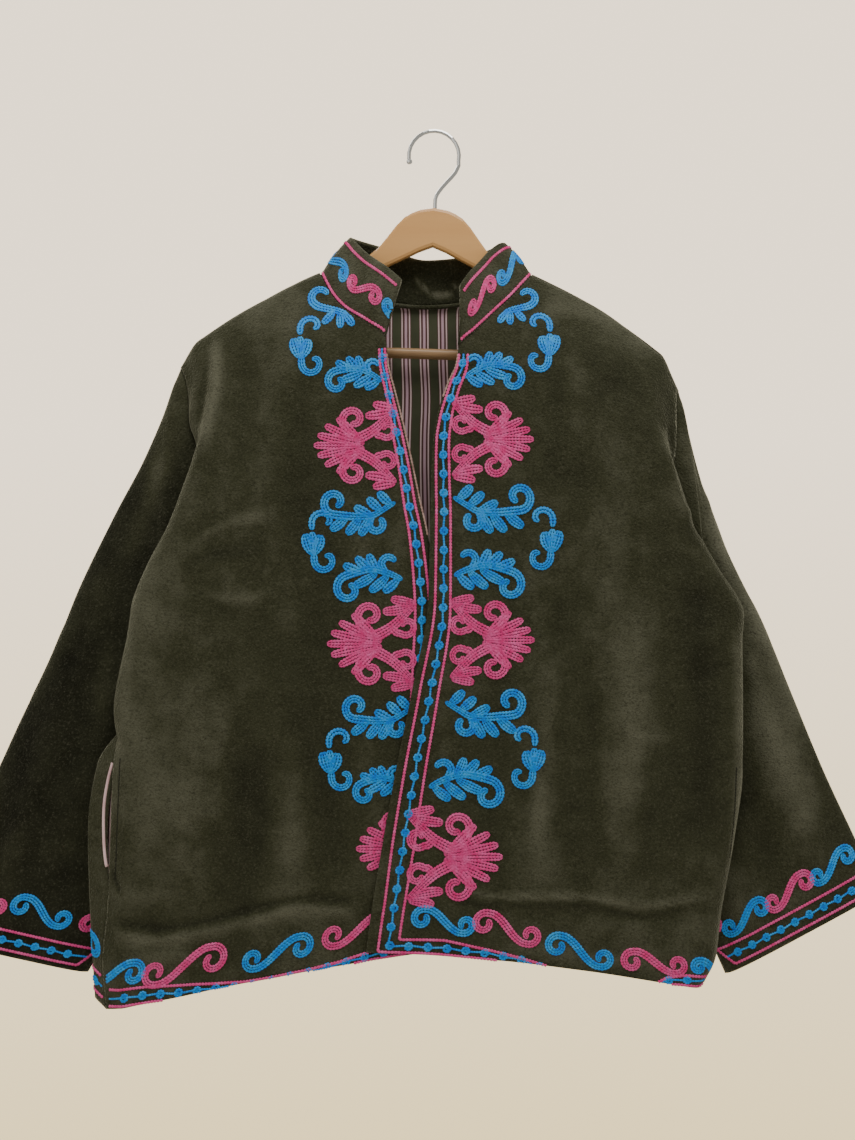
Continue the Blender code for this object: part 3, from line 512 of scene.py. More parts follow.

# %% [markdown]
# ## Folds laid in one by one
# Heavy velvet hangs in a few long soft folds, and creases where the arm and the side meet the body.
# Each fold is a row of a table: how high it stands (a trough is negative), how wide it is, over what
# length its ends fade, and the line it follows in x and z. The surface is moved along its own normal, so
# a fold keeps the thickness of the cloth. Sculpting could do the same, but a table can be read and
# changed.

# %% Fold tool
STEPS_A_POINT = 8
# Share of a fold's height painted into the velvet's colour: painted highlight on a ridge, painted shade in a
# trough
FOLD_PAINTED_LIGHT = 0.075
WAVES = 9


def fold_height(points, folds):
    """How far every fold whose line passes near a point lifts it, summed."""
    flat = points[..., [0, 2]]
    height = np.zeros(points.shape[:2])
    for rise, width, fade, line in folds:
        line = np.array(line, float)
        steps = np.linspace(0, len(line) - 1, STEPS_A_POINT * (len(line) - 1) + 1)
        path = smooth(line, steps)
        length = lengths(path)
        start = path[:-1]
        run = np.diff(path, axis=0)
        near = flat[:, :, None, :] - start
        along = np.clip((near * run).sum(-1) / (run * run).sum(-1), 0, 1)
        away = np.linalg.norm(near - along[..., None] * run, axis=-1)
        best = away.argmin(axis=2)
        reach = np.take_along_axis(away, best[..., None], 2)[..., 0]
        part = np.take_along_axis(along, best[..., None], 2)[..., 0]
        place = length[best] + part * (length[best + 1] - length[best])
        taper = np.clip(np.minimum(place, length[-1] - place) / fade, 0, 1)
        taper = taper * taper * (3 - 2 * taper)
        height += rise * taper * np.exp(-((reach / (0.6 * width)) ** 2))
    return height


def lay_folds(points, normal, folds, scale=1.0):
    """Move a net of points along its normals by the height of the folds."""
    return points + normal * (fold_height(points, folds) * scale)[..., None]


def painted_light_of_velvet(points, folds, brushed_and_painted_light, base=0.0):
    """Painted light and shade of the velvet at each point: 0 ordinary, higher for a painted highlight, lower
    for painted shade; a fold's ridge gets painted highlight and its trough painted shade.
    """
    return base + FOLD_PAINTED_LIGHT * fold_height(points, folds) + fold_height(points, brushed_and_painted_light)


def ripple(points, seed, size, depth):
    """Slow uneven waves, the same on every run, so that no large area is dead flat."""
    chance = np.random.default_rng(seed)
    height = np.zeros(points.shape[:2])
    for _ in range(WAVES):
        turn = chance.uniform(0, 2 * math.pi)
        wave = size * chance.uniform(0.6, 1.8)
        shift = chance.uniform(0, 2 * math.pi)
        along = points[..., 0] * math.cos(turn) * 1.3 + points[..., 2] * math.sin(turn) * 0.6
        height += np.sin(along * 2 * math.pi / wave + shift)
    return depth * height / 3.0


print("waves in a ripple:", WAVES)

# %% Folds of the fronts: rise, width, fade, line of (x, z)
FOLDS_FRONT_RIGHT = [
    (3.2, 11, 26, [(-221, -205), (-221, -262), (-227, -302), (-236, -345)]),
    (-2.6, 9, 22, [(-231, -232), (-234, -275), (-241, -312)]),
    (2.6, 8, 14, [(-243, -262), (-247, -300), (-241, -318)]),
    (2.6, 26, 60, [(-150, -178), (-147, -262), (-143, -372)]),
    (-2.4, 24, 60, [(-186, -196), (-190, -290), (-200, -380)]),
    (1.5, 14, 40, [(-262, -420), (-215, -452), (-160, -500), (-120, -512)]),
    (-1.4, 12, 40, [(-270, -445), (-224, -482), (-180, -520)]),
    (2.4, 16, 30, [(-303, -470), (-292, -500), (-262, -526)]),
    (-1.8, 12, 30, [(-296, -520), (-262, -548), (-232, -560)]),
    (3.4, 34, 120, [(-236, -520), (-243, -640), (-250, -800)]),
    (-3.2, 32, 120, [(-196, -560), (-190, -690), (-196, -836)]),
    (2.4, 30, 120, [(-148, -540), (-140, -680), (-146, -840)]),
    (-2.2, 24, 110, [(-104, -560), (-98, -700), (-108, -838)]),
    (2, 8, 24, [(-328, -812), (-284, -821), (-235, -814), (-177, -800), (-130, -790), (-66, -795)]),
    (-1.6, 7, 24, [(-326, -801), (-284, -811), (-235, -804), (-177, -790), (-130, -780), (-70, -785)]),
    (1.5, 8, 30, [(-254, -432), (-202, -406), (-150, -394)]),
    (-1.3, 7, 30, [(-262, -452), (-206, -432), (-152, -420)]),
    (1.4, 8, 26, [(-246, -474), (-196, -484), (-148, -472)]),
    (1.3, 9, 30, [(-232, -600), (-186, -622), (-150, -616)]),
    (1.3, 8, 30, [(-270, -650), (-240, -690), (-196, -700)]),
    (-1.2, 8, 30, [(-280, -690), (-246, -722), (-200, -730)]),
    (-3, 20, 26, [(-318, -814), (-290, -810), (-262, -822)]),
    (2.2, 14, 24, [(-318, -772), (-296, -778), (-262, -776)]),
    (1.8, 10, 22, [(-300, -846), (-262, -838), (-226, -842)]),
    (-1.6, 4, 7, [(-322, -756), (-318, -768), (-312, -778)]),
]

FOLDS_FRONT_LEFT = [
    (2.6, 24, 60, [(146, -196), (142, -282), (136, -372)]),
    (-2.2, 22, 60, [(186, -214), (190, -300), (200, -372)]),
    (2.2, 12, 20, [(226, -270), (234, -322), (244, -372), (258, -412)]),
    (-2.4, 10, 18, [(238, -300), (247, -352), (259, -392), (276, -424)]),
    (2.2, 8, 10, [(240, -380), (252, -392), (266, -396)]),
    (2, 14, 30, [(304, -498), (286, -516), (254, -530)]),
    (-1.8, 12, 26, [(300, -536), (274, -556), (240, -566)]),
    (3.2, 24, 70, [(119, -505), (116, -622), (107, -748), (104, -800)]),
    (-3, 26, 90, [(156, -520), (160, -640), (150, -780)]),
    (3, 27, 60, [(203, -480), (204, -570), (199, -650), (194, -730)]),
    (-2.4, 26, 90, [(244, -560), (240, -680), (228, -800)]),
    (2.2, 7, 24, [(62, -786), (98, -777), (154, -779), (233, -786), (286, -776)]),
    (-1.8, 8, 24, [(80, -798), (150, -794), (226, -802), (268, -796)]),
    (1.4, 8, 26, [(286, -448), (250, -462), (214, -456)]),
    (-1.2, 7, 26, [(290, -470), (252, -482), (220, -476)]),
    (1.3, 8, 30, [(180, -600), (214, -622), (262, -612)]),
    (1.4, 8, 30, [(220, -720), (256, -744), (296, -740)]),
    (-1.3, 8, 30, [(214, -742), (252, -766), (290, -762)]),
    (-2.2, 20, 90, [(64, -520), (60, -640), (52, -790)]),
    (1.6, 12, 22, [(262, -820), (236, -834), (206, -836)]),
]
print("folds of the fronts:", len(FOLDS_FRONT_RIGHT) + len(FOLDS_FRONT_LEFT))

# %% Folds of the back and the sleeves
FOLDS_BACK = [
    (3, 30, 70, [(-150, -200), (-146, -300), (-152, -420)]),
    (-2.6, 26, 70, [(-104, -230), (-100, -330), (-112, -440)]),
    (2.8, 28, 70, [(132, -210), (138, -310), (132, -420)]),
    (-2.4, 24, 70, [(86, -240), (92, -340), (88, -452)]),
    (2.2, 22, 60, [(-20, -250), (-14, -340), (-22, -430)]),
    (1.8, 14, 36, [(-238, -420), (-190, -470), (-140, -500)]),
    (-1.8, 12, 36, [(-262, -462), (-214, -510), (-170, -530)]),
    (1.8, 14, 36, [(232, -440), (190, -480), (142, -506)]),
    (-1.8, 12, 36, [(262, -482), (222, -522), (176, -540)]),
    (3.6, 34, 130, [(-184, -500), (-190, -650), (-182, -850)]),
    (-3.4, 32, 130, [(-134, -510), (-128, -660), (-138, -856)]),
    (3, 30, 130, [(-76, -520), (-70, -680), (-80, -858)]),
    (-2.8, 28, 130, [(-22, -500), (-16, -660), (-26, -850)]),
    (3.2, 30, 130, [(38, -520), (46, -680), (40, -852)]),
    (-3, 30, 130, [(92, -510), (98, -660), (90, -850)]),
    (3.6, 34, 130, [(150, -500), (158, -660), (148, -850)]),
    (-3, 30, 130, [(210, -520), (216, -670), (204, -850)]),
    (2, 8, 26, [(-250, -806), (-170, -798), (-90, -800)]),
    (2, 8, 26, [(20, -798), (110, -796), (190, -806)]),
]

FOLDS_SLEEVE_RIGHT = [
    (3, 18, 30, [(-372, -500), (-394, -535), (-414, -580), (-420, -610)]),
    (-2.6, 15, 30, [(-345, -470), (-366, -520), (-384, -570)]),
    (2.8, 16, 30, [(-300, -520), (-318, -560), (-352, -602)]),
    (-2.6, 14, 30, [(-290, -560), (-312, -600), (-344, -640)]),
    (2.2, 14, 26, [(-282, -610), (-312, -640), (-352, -664)]),
    (3.2, 26, 80, [(-330, -420), (-372, -540), (-420, -700), (-452, -800)]),
    (-3, 24, 80, [(-312, -600), (-352, -700), (-396, -812)]),
    (2.4, 20, 60, [(-306, -690), (-336, -760), (-372, -836)]),
    (-2.2, 18, 40, [(-440, -690), (-462, -760), (-486, -810)]),
    (1.8, 12, 24, [(-330, -730), (-366, -742), (-412, -736)]),
]

FOLDS_SLEEVE_LEFT = [
    (3, 12, 20, [(278, -365), (293, -408), (295, -437), (309, -467)]),
    (-0.8, 12, 24, [(258, -392), (272, -440), (286, -480)]),
    (2.8, 18, 30, [(318, -470), (336, -512), (348, -552)]),
    (-2.6, 16, 30, [(300, -500), (318, -560), (326, -600)]),
    (2.6, 16, 30, [(276, -620), (296, -650), (330, -672)]),
    (-2.4, 14, 30, [(280, -660), (306, -690), (340, -704)]),
    (3.2, 26, 80, [(300, -480), (340, -600), (384, -720), (410, -790)]),
    (-3, 24, 80, [(300, -600), (330, -700), (362, -810)]),
    (2.4, 20, 60, [(286, -720), (310, -790), (336, -850)]),
    (-2, 14, 26, [(390, -640), (404, -690), (424, -740)]),
]
print("folds of the back:", len(FOLDS_BACK), "of a sleeve:", len(FOLDS_SLEEVE_RIGHT))

# %% [markdown]
# ## Painted light and shade on the velvet
# These tables paint light and shade into the velvet's colour: painted highlights where light catches the
# shoulders, ridges and creases, and painted shade in hollows and below creases. They are read by the fold
# tool too, but they change the colour of the cloth, not its shape: how much paler (a painted highlight) or
# darker (painted shade, if negative), the width, the fade and the line.

# %% Painted light and shade of the body
PAINTED_LIGHT_FRONT_RIGHT = [
    (0.36, 50, 40, [(-232, -196), (-205, -184), (-160, -176), (-110, -168)]),
    (0.30, 46, 90, [(-262, -240), (-290, -402), (-284, -582), (-292, -760)]),
    (0.26, 12, 60, [(-300, -440), (-310, -560), (-322, -690)]),
    (0.42, 13, 30, [(-221, -212), (-221, -262), (-228, -302), (-234, -330)]),
    (-0.22, 34, 60, [(-140, -220), (-132, -320), (-128, -440)]),
    (0.22, 10, 40, [(-250, -430), (-200, -404), (-146, -392)]),
    (0.18, 9, 30, [(-244, -470), (-196, -482), (-150, -470)]),
    (-0.25, 12, 40, [(-262, -450), (-206, -436), (-150, -430)]),
    (-0.22, 34, 60, [(-150, -560), (-118, -650), (-96, -770)]),
    (0.20, 18, 60, [(-208, -560), (-216, -650), (-206, -740)]),
    (-0.20, 16, 60, [(-176, -600), (-170, -690), (-182, -770)]),
    (0.34, 11, 24, [(-328, -814), (-284, -824), (-235, -817), (-177, -803), (-130, -793), (-70, -798)]),
    (-0.34, 8, 24, [(-326, -802), (-284, -812), (-235, -805), (-177, -791), (-130, -781), (-70, -786)]),
    (0.35, 22, 16, [(-60, -196), (-40, -214), (-30, -234)]),
    (-0.5, 4, 8, [(-325, -750), (-319, -766), (-310, -780)]),
]
PAINTED_LIGHT_FRONT_LEFT = [
    (0.34, 34, 30, [(100, -172), (160, -184), (206, -204), (232, -228)]),
    (0.24, 40, 80, [(186, -250), (178, -360), (174, -470), (184, -590), (170, -740)]),
    (0.26, 12, 40, [(106, -640), (104, -700), (100, -742)]),
    (-0.22, 20, 70, [(134, -430), (124, -560), (128, -730)]),
    (-0.34, 30, 80, [(252, -420), (270, -520), (272, -640), (262, -760)]),
    (0.42, 9, 50, [(302, -490), (306, -600), (306, -690), (298, -770)]),
    (0.20, 10, 30, [(230, -420), (262, -436), (290, -460)]),
    (-0.22, 26, 60, [(120, -220), (124, -300), (120, -390)]),
    (0.34, 6, 30, [(10, -767), (60, -777), (150, -778), (206, -789), (272, -775)]),
    (-0.34, 6, 24, [(10, -776), (60, -786), (150, -787), (206, -798), (272, -783)]),
    (0.26, 13, 30, [(60, -822), (150, -838), (240, -846)]),
    (-0.20, 20, 60, [(210, -640), (214, -700), (206, -770)]),
]
PAINTED_LIGHT_BACK = [
    (0.40, 46, 40, [(-236, -200), (-150, -176), (-60, -160), (60, -160), (150, -176), (230, -208)]),
    (0.26, 40, 90, [(-268, -300), (-280, -480), (-276, -700)]),
    (0.22, 34, 90, [(-120, -320), (-112, -480), (-120, -700)]),
    (-0.24, 30, 90, [(-190, -340), (-196, -520), (-190, -760)]),
    (0.24, 34, 90, [(60, -300), (70, -480), (62, -720)]),
    (-0.24, 30, 90, [(-30, -340), (-24, -540), (-30, -760)]),
    (-0.24, 30, 90, [(150, -340), (146, -520), (152, -760)]),
    (0.30, 30, 80, [(246, -320), (256, -500), (250, -700)]),
    (0.24, 14, 60, [(-260, -800), (-120, -806), (60, -800), (240, -806)]),
]
print("brushed places of the back:", len(PAINTED_LIGHT_BACK))

# %% Painted light and shade of the sleeves
PAINTED_LIGHT_SLEEVE_RIGHT = [
    (0.64, 30, 40, [(-250, -200), (-262, -260), (-278, -330), (-290, -380)]),
    (0.45, 18, 30, [(-280, -330), (-300, -400), (-318, -450)]),
    (0.26, 14, 30, [(-330, -520), (-346, -570), (-342, -620)]),
    (-0.30, 40, 60, [(-352, -500), (-400, -620), (-440, -760)]),
    (0.22, 16, 30, [(-330, -650), (-352, -700), (-390, -760)]),
]
PAINTED_LIGHT_SLEEVE_LEFT = [
    (0.70, 26, 60, [(262, -290), (288, -370), (322, -450), (356, -530), (400, -630)]),
    (0.40, 40, 60, [(330, -560), (372, -650), (404, -740)]),
    (-0.40, 30, 60, [(284, -470), (300, -560), (310, -680), (300, -780)]),
    (0.25, 12, 30, [(276, -380), (290, -420), (300, -450)]),
    (0.24, 20, 40, [(340, -800), (380, -790), (420, -770)]),
]
print("brushed places of the sleeves:", len(PAINTED_LIGHT_SLEEVE_RIGHT) + len(PAINTED_LIGHT_SLEEVE_LEFT))

# %% [markdown]
# ## From a net of points to a piece of cloth
# Blender's own grid is made flat, with a UV map, and every point is then moved to its place on the
# surface. A Solidify modifier gives the cloth its thickness inwards, and can put a second finish inside.
# A closed box would also have a thickness, but the modifier keeps one surface that is easy to change.


# %% Cloth piece
def grid_place(vert, rows, columns):
    """The row and the column of a vertex in a flat grid of size 1."""
    return round((vert.co.y + 0.5) * (rows - 1)), round((vert.co.x + 0.5) * (columns - 1))


def net_mesh(name, net, closed=False, painted_light_and_tone=None):
    """A grid mesh laid over a net of points in millimetres, carrying painted light and shade for the
    velvet's colour.
    """
    rows, columns = net.shape[:2]
    bm = bmesh.new()
    bm.loops.layers.uv.new("cloth")
    layer = bm.verts.layers.float.new("painted_light_and_tone")
    bmesh.ops.create_grid(bm, x_segments=columns - 1, y_segments=rows - 1, size=0.5, calc_uvs=True)
    for vert in bm.verts:
        i, j = grid_place(vert, rows, columns)
        vert.co = net[i, j] * MM
        vert[layer] = 0.0 if painted_light_and_tone is None else float(painted_light_and_tone[i, j])
    if closed:
        bmesh.ops.remove_doubles(bm, verts=bm.verts, dist=0.00002)
    mesh = bpy.data.meshes.new(name)
    bm.to_mesh(mesh)
    bm.free()
    return mesh


def turn_outwards(mesh, outward_at):
    """Reverse a mesh whose faces look against the given direction at their centres."""
    total = 0.0
    for face in mesh.polygons:
        total += face.normal.dot(outward_at(face.center)) * face.area
    if total < 0:
        mesh.flip_normals()


def piece(name, mesh, finishes, *nodes, thick=0.0, inside=0):
    """Finish a mesh as an object that stands for its CAD nodes."""
    for finish in finishes:
        mesh.materials.append(finish)
    mesh.shade_smooth()
    obj = new_object(name, mesh)
    if thick:
        wall = obj.modifiers.new("thickness", "SOLIDIFY")
        wall.thickness = thick * MM
        wall.offset = -1.0
        wall.material_offset = inside
        wall.use_quality_normals = True
    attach(obj, "root")
    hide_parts(*nodes)
    return obj


# %% Directions and sizes of a net
def normals(points, closed=False):
    """Unit normals of a net of points, by the differences along and across it."""
    if closed:
        across = np.roll(points, -1, axis=1) - np.roll(points, 1, axis=1)
    else:
        across = np.gradient(points, axis=1)
    return unit(np.cross(across, np.gradient(points, axis=0)))


def facing_away(normal, points, centre):
    """The same normals, turned round if they look towards a centre."""
    return -normal if np.sum((points - centre) * normal) < 0 else normal


def outward(points, facing):
    """Normals of an open panel on its visible side; facing is 1 for a net that starts at its left."""
    return -normals(points) * facing


def finished_net(net, folds, facing, seed, depth=0.7):
    """A body panel with its folds and its slow uneven waves."""
    normal = outward(net, facing)
    waved = net + normal * ripple(net, seed, 130.0, depth)[..., None]
    return lay_folds(waved, normal, folds)


def measured_uv(mesh, net):
    """Scale a piece's UV map from 0 to 1 into metres of cloth."""
    wide = np.linalg.norm(np.diff(net, axis=1), axis=2).sum(axis=1).mean() * MM
    long = np.linalg.norm(np.diff(net, axis=0), axis=2).sum(axis=0).mean() * MM
    for loop in mesh.uv_layers["cloth"].data:
        loop.uv = (loop.uv[0] * wide, loop.uv[1] * long)
    return wide, long


def tell(name, size, mesh):
    """Print what a piece of cloth measures, and how many triangles its two sides take."""
    print(name, "is", [round(v, 3) for v in size], "m, triangles:", 4 * len(mesh.polygons))


# %% [markdown]
# ## Shader groups shared by the finishes
# Velvet, thread, satin and lining all vary a little from place to place, and all have fine grain. Two
# node groups, built once, give that: one gives a slow uneven mask, the other a bump height of fine
# fibres. Each finish places them with its own sizes. Images could do it too, but would blur up close.


# %% Node helpers
def new_group(name, outputs):
    """A shader node group that takes a vector and a scale."""
    group = bpy.data.node_groups.new(name, "ShaderNodeTree")
    group.interface.new_socket("Vector", in_out="INPUT", socket_type="NodeSocketVector")
    group.interface.new_socket("Scale", in_out="INPUT", socket_type="NodeSocketFloat")
    for label in outputs:
        group.interface.new_socket(label, in_out="OUTPUT", socket_type="NodeSocketFloat")
    return group, group.nodes.new("NodeGroupInput"), group.nodes.new("NodeGroupOutput")


def new_node(tree, kind, vector=None, **settings):
    """A node in a tree, reading a vector, with its settings and unlinked inputs given by name."""
    node = tree.nodes.new(kind)
    for key, value in settings.items():
        if hasattr(node, key):
            setattr(node, key, value)
        else:
            node.inputs[key.replace("_", " ")].default_value = value
    if vector is not None:
        tree.links.new(vector, node.inputs["Vector"])
    return node


def noise(tree, vector, scale, detail=3.0, roughness=0.55):
    """Soft noise from 0 to 1."""
    made = new_node(tree, "ShaderNodeTexNoise", vector, Scale=scale, Detail=detail, Roughness=roughness)
    return made.outputs["Fac"]


def stretched(tree, vector, scale):
    """A place whose three axes are scaled apart, so that a pattern on it is drawn out."""
    return new_node(tree, "ShaderNodeMapping", vector, Scale=scale).outputs["Vector"]


def spread_value(tree, value, low, high, to_low=0.0, to_high=1.0):
    """Map a value between two limits to another range, and hold it there."""
    limits = {"From_Min": low, "From_Max": high, "To_Min": to_low, "To_Max": to_high}
    made = new_node(tree, "ShaderNodeMapRange", **limits)
    tree.links.new(value, made.inputs["Value"])
    return made.outputs["Result"]


def combine(tree, how, one, two):
    """One sum, product or the like of two values, each a socket or a number."""
    made = new_node(tree, "ShaderNodeMath", operation=how)
    for socket, value in zip(made.inputs, (one, two)):
        if isinstance(value, (int, float)):
            socket.default_value = value
        else:
            tree.links.new(value, socket)
    return made.outputs["Value"]


def swing(tree, mask, amount):
    """A mask from 0 to 1 made a value that swings by half an amount each way."""
    return combine(tree, "MULTIPLY", combine(tree, "SUBTRACT", mask, 0.5), amount)


def blend_colours(tree, factor, one, two):
    """A blend of two colours, each a socket or three numbers."""
    made = new_node(tree, "ShaderNodeMix", data_type="RGBA")
    for label, value in (("A", one), ("B", two)):
        socket = [s for s in made.inputs if s.name == label and s.type == "RGBA"][0]
        if isinstance(value, tuple):
            socket.default_value = (*value, 1.0)
        else:
            tree.links.new(value, socket)
    tree.links.new(factor, made.inputs["Factor"])
    return [s for s in made.outputs if s.type == "RGBA"][0]


# %% Two shared groups
def make_patches():
    """Soft patches, as a mask from 0 to 1."""
    group, start, end = new_group("soft_patches", ["Mask"])
    first = new_node(group, "ShaderNodeTexNoise", start.outputs["Vector"], Detail=4.0, Roughness=0.6)
    group.links.new(start.outputs["Scale"], first.inputs["Scale"])
    held = spread_value(group, first.outputs["Fac"], 0.32, 0.68)
    group.links.new(held, end.inputs["Mask"])
    return group


def make_fibres():
    """Fine tangled fibres, as the height for a Bump node."""
    group, start, end = new_group("fine_fibres", ["Height"])
    first = new_node(group, "ShaderNodeTexNoise", start.outputs["Vector"], Detail=2.0, Roughness=0.5)
    cells = new_node(group, "ShaderNodeTexVoronoi", start.outputs["Vector"])
    for texture in (first, cells):
        group.links.new(start.outputs["Scale"], texture.inputs["Scale"])
    total = combine(group, "ADD", first.outputs["Fac"], cells.outputs["Distance"])
    group.links.new(total, end.inputs["Height"])
    return group


def place_group(tree, group, vector, scale):
    """Place a shared group in a material, at its own scale."""
    node = tree.nodes.new("ShaderNodeGroup")
    node.node_tree = group
    node.inputs["Scale"].default_value = scale
    tree.links.new(vector, node.inputs["Vector"])
    return node.outputs[0]


PATCHES = make_patches()
FIBRES = make_fibres()
print("groups:", PATCHES.name, FIBRES.name)


# %% The start and the bump of a finish
def new_material(name, roughness, sheen=0.0, sheen_tint=(1, 1, 1), sheen_roughness=0.4, metallic=0.0):
    """A material with its constants on the shader's own sockets, and its Object coordinates."""
    made = bpy.data.materials.new(name)
    made.use_nodes = True
    tree = made.node_tree
    shader = tree.nodes["Principled BSDF"]
    shader.inputs["Roughness"].default_value = roughness
    shader.inputs["Metallic"].default_value = metallic
    shader.inputs["Sheen Weight"].default_value = sheen
    shader.inputs["Sheen Tint"].default_value = (*sheen_tint, 1.0)
    shader.inputs["Sheen Roughness"].default_value = sheen_roughness
    here = tree.nodes.new("ShaderNodeTexCoord").outputs["Object"]
    return made, tree, shader, here


def add_bump(tree, shader, height, distance, strength=1.0):
    """Let a height bend the shader's normal."""
    bump = new_node(tree, "ShaderNodeBump", Distance=distance, Strength=strength)
    tree.links.new(height, bump.inputs["Height"])
    tree.links.new(bump.outputs["Normal"], shader.inputs["Normal"])


# %% [markdown]
# ## Velvet
# Cotton velvet is nearly black where the pile stands towards you and pale at grazing angles. The sheen
# layer gives the pale rims. The mesh carries painted light and shade: painted highlights on the ridges of
# its folds and painted shade in their troughs, and more from a table of painted places; slow patches, like
# brushed pile, vary the tone at random, and very fine noise is the pile.
# Hair could be grown on the cloth instead, but it would be heavy and couldn't be exported.

# %% Velvet
# The deep colour is painted shade and darker patches, the pale one painted highlight and paler patches; the
# plain one is the velvet's own
DEEP_VELVET_AND_SHADE = (0.0085, 0.0088, 0.0045)
PLAIN_VELVET = (0.041, 0.0425, 0.0225)
PALE_VELVET_AND_HIGHLIGHT = (0.160, 0.158, 0.112)
BETWEEN_PILE = (0.010, 0.010, 0.005)
PILE_TIPS = (0.105, 0.102, 0.070)


def make_velvet():
    """Olive velvet, whose colour follows the painted light and shade carried by the mesh, and random
    patches.
    """
    made, tree, shader, here = new_material(
        "olive_velvet", 0.85, sheen=0.5, sheen_tint=(0.66, 0.64, 0.48), sheen_roughness=0.38
    )
    shader.inputs["Specular IOR Level"].default_value = 0.10
    brushed_and_painted_light = place_group(tree, PATCHES, stretched(tree, here, (1.0, 1.0, 0.35)), 11.0)
    handled = place_group(tree, PATCHES, here, 38.0)
    # The mesh attribute is painted light and shade; the two kinds of patches add random tone
    lie = new_node(tree, "ShaderNodeAttribute", attribute_name="painted_light_and_tone")
    painted_light_and_tone = combine(tree, "ADD", lie.outputs["Fac"], swing(tree, brushed_and_painted_light, 0.32))
    painted_light_and_tone = combine(tree, "ADD", painted_light_and_tone, swing(tree, handled, 0.26))
    darker = spread_value(tree, painted_light_and_tone, -0.75, 0.0)
    paler = spread_value(tree, painted_light_and_tone, 0.0, 1.0)
    colour = blend_colours(tree, darker, DEEP_VELVET_AND_SHADE, PLAIN_VELVET)
    colour = blend_colours(tree, paler, colour, PALE_VELVET_AND_HIGHLIGHT)
    pile = noise(tree, here, 420.0, 3.0, 0.7)
    colour = blend_colours(tree, spread_value(tree, pile, 0.30, 0.50, 0.55, 0.0), colour, BETWEEN_PILE)
    colour = blend_colours(tree, spread_value(tree, pile, 0.54, 0.74, 0.0, 0.45), colour, PILE_TIPS)
    tree.links.new(colour, shader.inputs["Base Color"])
    rough = spread_value(tree, handled, 0.0, 1.0, 0.92, 0.78)
    tree.links.new(rough, shader.inputs["Roughness"])
    flat = stretched(tree, here, (0.45, 1.0, 1.3))
    wrinkles = combine(tree, "MULTIPLY", noise(tree, flat, 62.0, 2.0, 0.6), 2.2)
    height = combine(tree, "ADD", place_group(tree, FIBRES, here, 500.0), wrinkles)
    add_bump(tree, shader, height, 0.0009, 0.85)
    return made


VELVET_FINISH = make_velvet()
print("finish:", VELVET_FINISH.name)

# %% [markdown]
# ## Striped lining
# The lining is a thin olive cotton with woven stripes: about every 16 mm a wide lilac stripe between two
# thin pale ones, on a maroon band. The stripes follow the cloth, so they are read from the piece's UV
# map, whose first axis is metres across the cloth. A slow sway keeps them from being ruler straight.

# %% Lining
PITCH = 15.6
SWAY = 5.0
STRIPE_EDGE = 0.15
COTTON = (0.046, 0.052, 0.022), (0.068, 0.076, 0.034)

# Each stripe is from, to and colour; a later one lies on an earlier one
STRIPES = (
    (3.4, 12.0, (0.100, 0.034, 0.032)),
    (4.0, 5.1, (0.82, 0.62, 0.62)),
    (6.7, 8.8, (0.64, 0.42, 0.50)),
    (10.3, 11.4, (0.82, 0.62, 0.62)),
)


def make_lining():
    """Olive cotton with woven stripes along it."""
    made, tree, shader, here = new_material("striped_lining", 0.75, sheen=0.15)
    split = new_node(tree, "ShaderNodeSeparateXYZ", here.node.outputs["UV"])
    across = combine(tree, "MULTIPLY", split.outputs["X"], MM_IN_METRE)
    across = combine(tree, "ADD", across, combine(tree, "MULTIPLY", noise(tree, here, 9.0, 1.0), SWAY))
    local = combine(tree, "FLOORED_MODULO", across, PITCH)
    colour = blend_colours(tree, place_group(tree, PATCHES, here, 30.0), *COTTON)
    for low, high, shade in STRIPES:
        rising = spread_value(tree, local, low - STRIPE_EDGE, low + STRIPE_EDGE)
        falling = spread_value(tree, local, high - STRIPE_EDGE, high + STRIPE_EDGE, 1.0, 0.0)
        colour = blend_colours(tree, combine(tree, "MULTIPLY", rising, falling), colour, shade)
    tree.links.new(colour, shader.inputs["Base Color"])
    add_bump(tree, shader, noise(tree, here, 1400.0, 1.0), 0.0002, 0.5)
    return made


LINING_FINISH = make_lining()
print("stripes in a repeat:", len(STRIPES))

# %% [markdown]
# ## Satin and thread
# The pocket facings are a smooth pale satin, so they have a soft gloss and hardly any grain. Embroidery
# thread is loosely spun: it has no gloss, its shade changes from stitch to stitch, and its plies show as
# fine fibres. One function makes every thread, from a dark and a light shade.


# %% Satin and thread
def make_satin():
    """Pale pink satin with a little gloss."""
    made, tree, shader, here = new_material("pale_satin", 0.38, sheen=0.3)
    patches = place_group(tree, PATCHES, here, 60.0)
    colour = blend_colours(tree, patches, (0.70, 0.42, 0.44), (0.86, 0.62, 0.62))
    tree.links.new(colour, shader.inputs["Base Color"])
    add_bump(tree, shader, noise(tree, here, 240.0), 0.0004, 0.4)
    return made


def make_thread(name, dark, light):
    """Loosely spun embroidery thread: two shades in patches, and fine ply along it."""
    made, tree, shader, here = new_material(name, 0.7, sheen=0.5, sheen_tint=light)
    shader.inputs["Specular IOR Level"].default_value = 0.2
    mixed = combine(tree, "MULTIPLY", place_group(tree, PATCHES, here, 130.0), noise(tree, here, 800.0, 2.0))
    mixed = combine(tree, "MULTIPLY", mixed, 1.6)
    tree.links.new(blend_colours(tree, mixed, dark, light), shader.inputs["Base Color"])
    add_bump(tree, shader, place_group(tree, FIBRES, here, 1300.0), 0.0003, 0.7)
    return made


SATIN_FINISH = make_satin()
BLUE = make_thread("blue_thread", (0.010, 0.235, 0.92), (0.070, 0.54, 1.0))
PINK = make_thread("pink_thread", (0.82, 0.042, 0.24), (1.0, 0.20, 0.50))
PALE = make_thread("pale_edging", (0.34, 0.20, 0.17), (0.66, 0.46, 0.40))
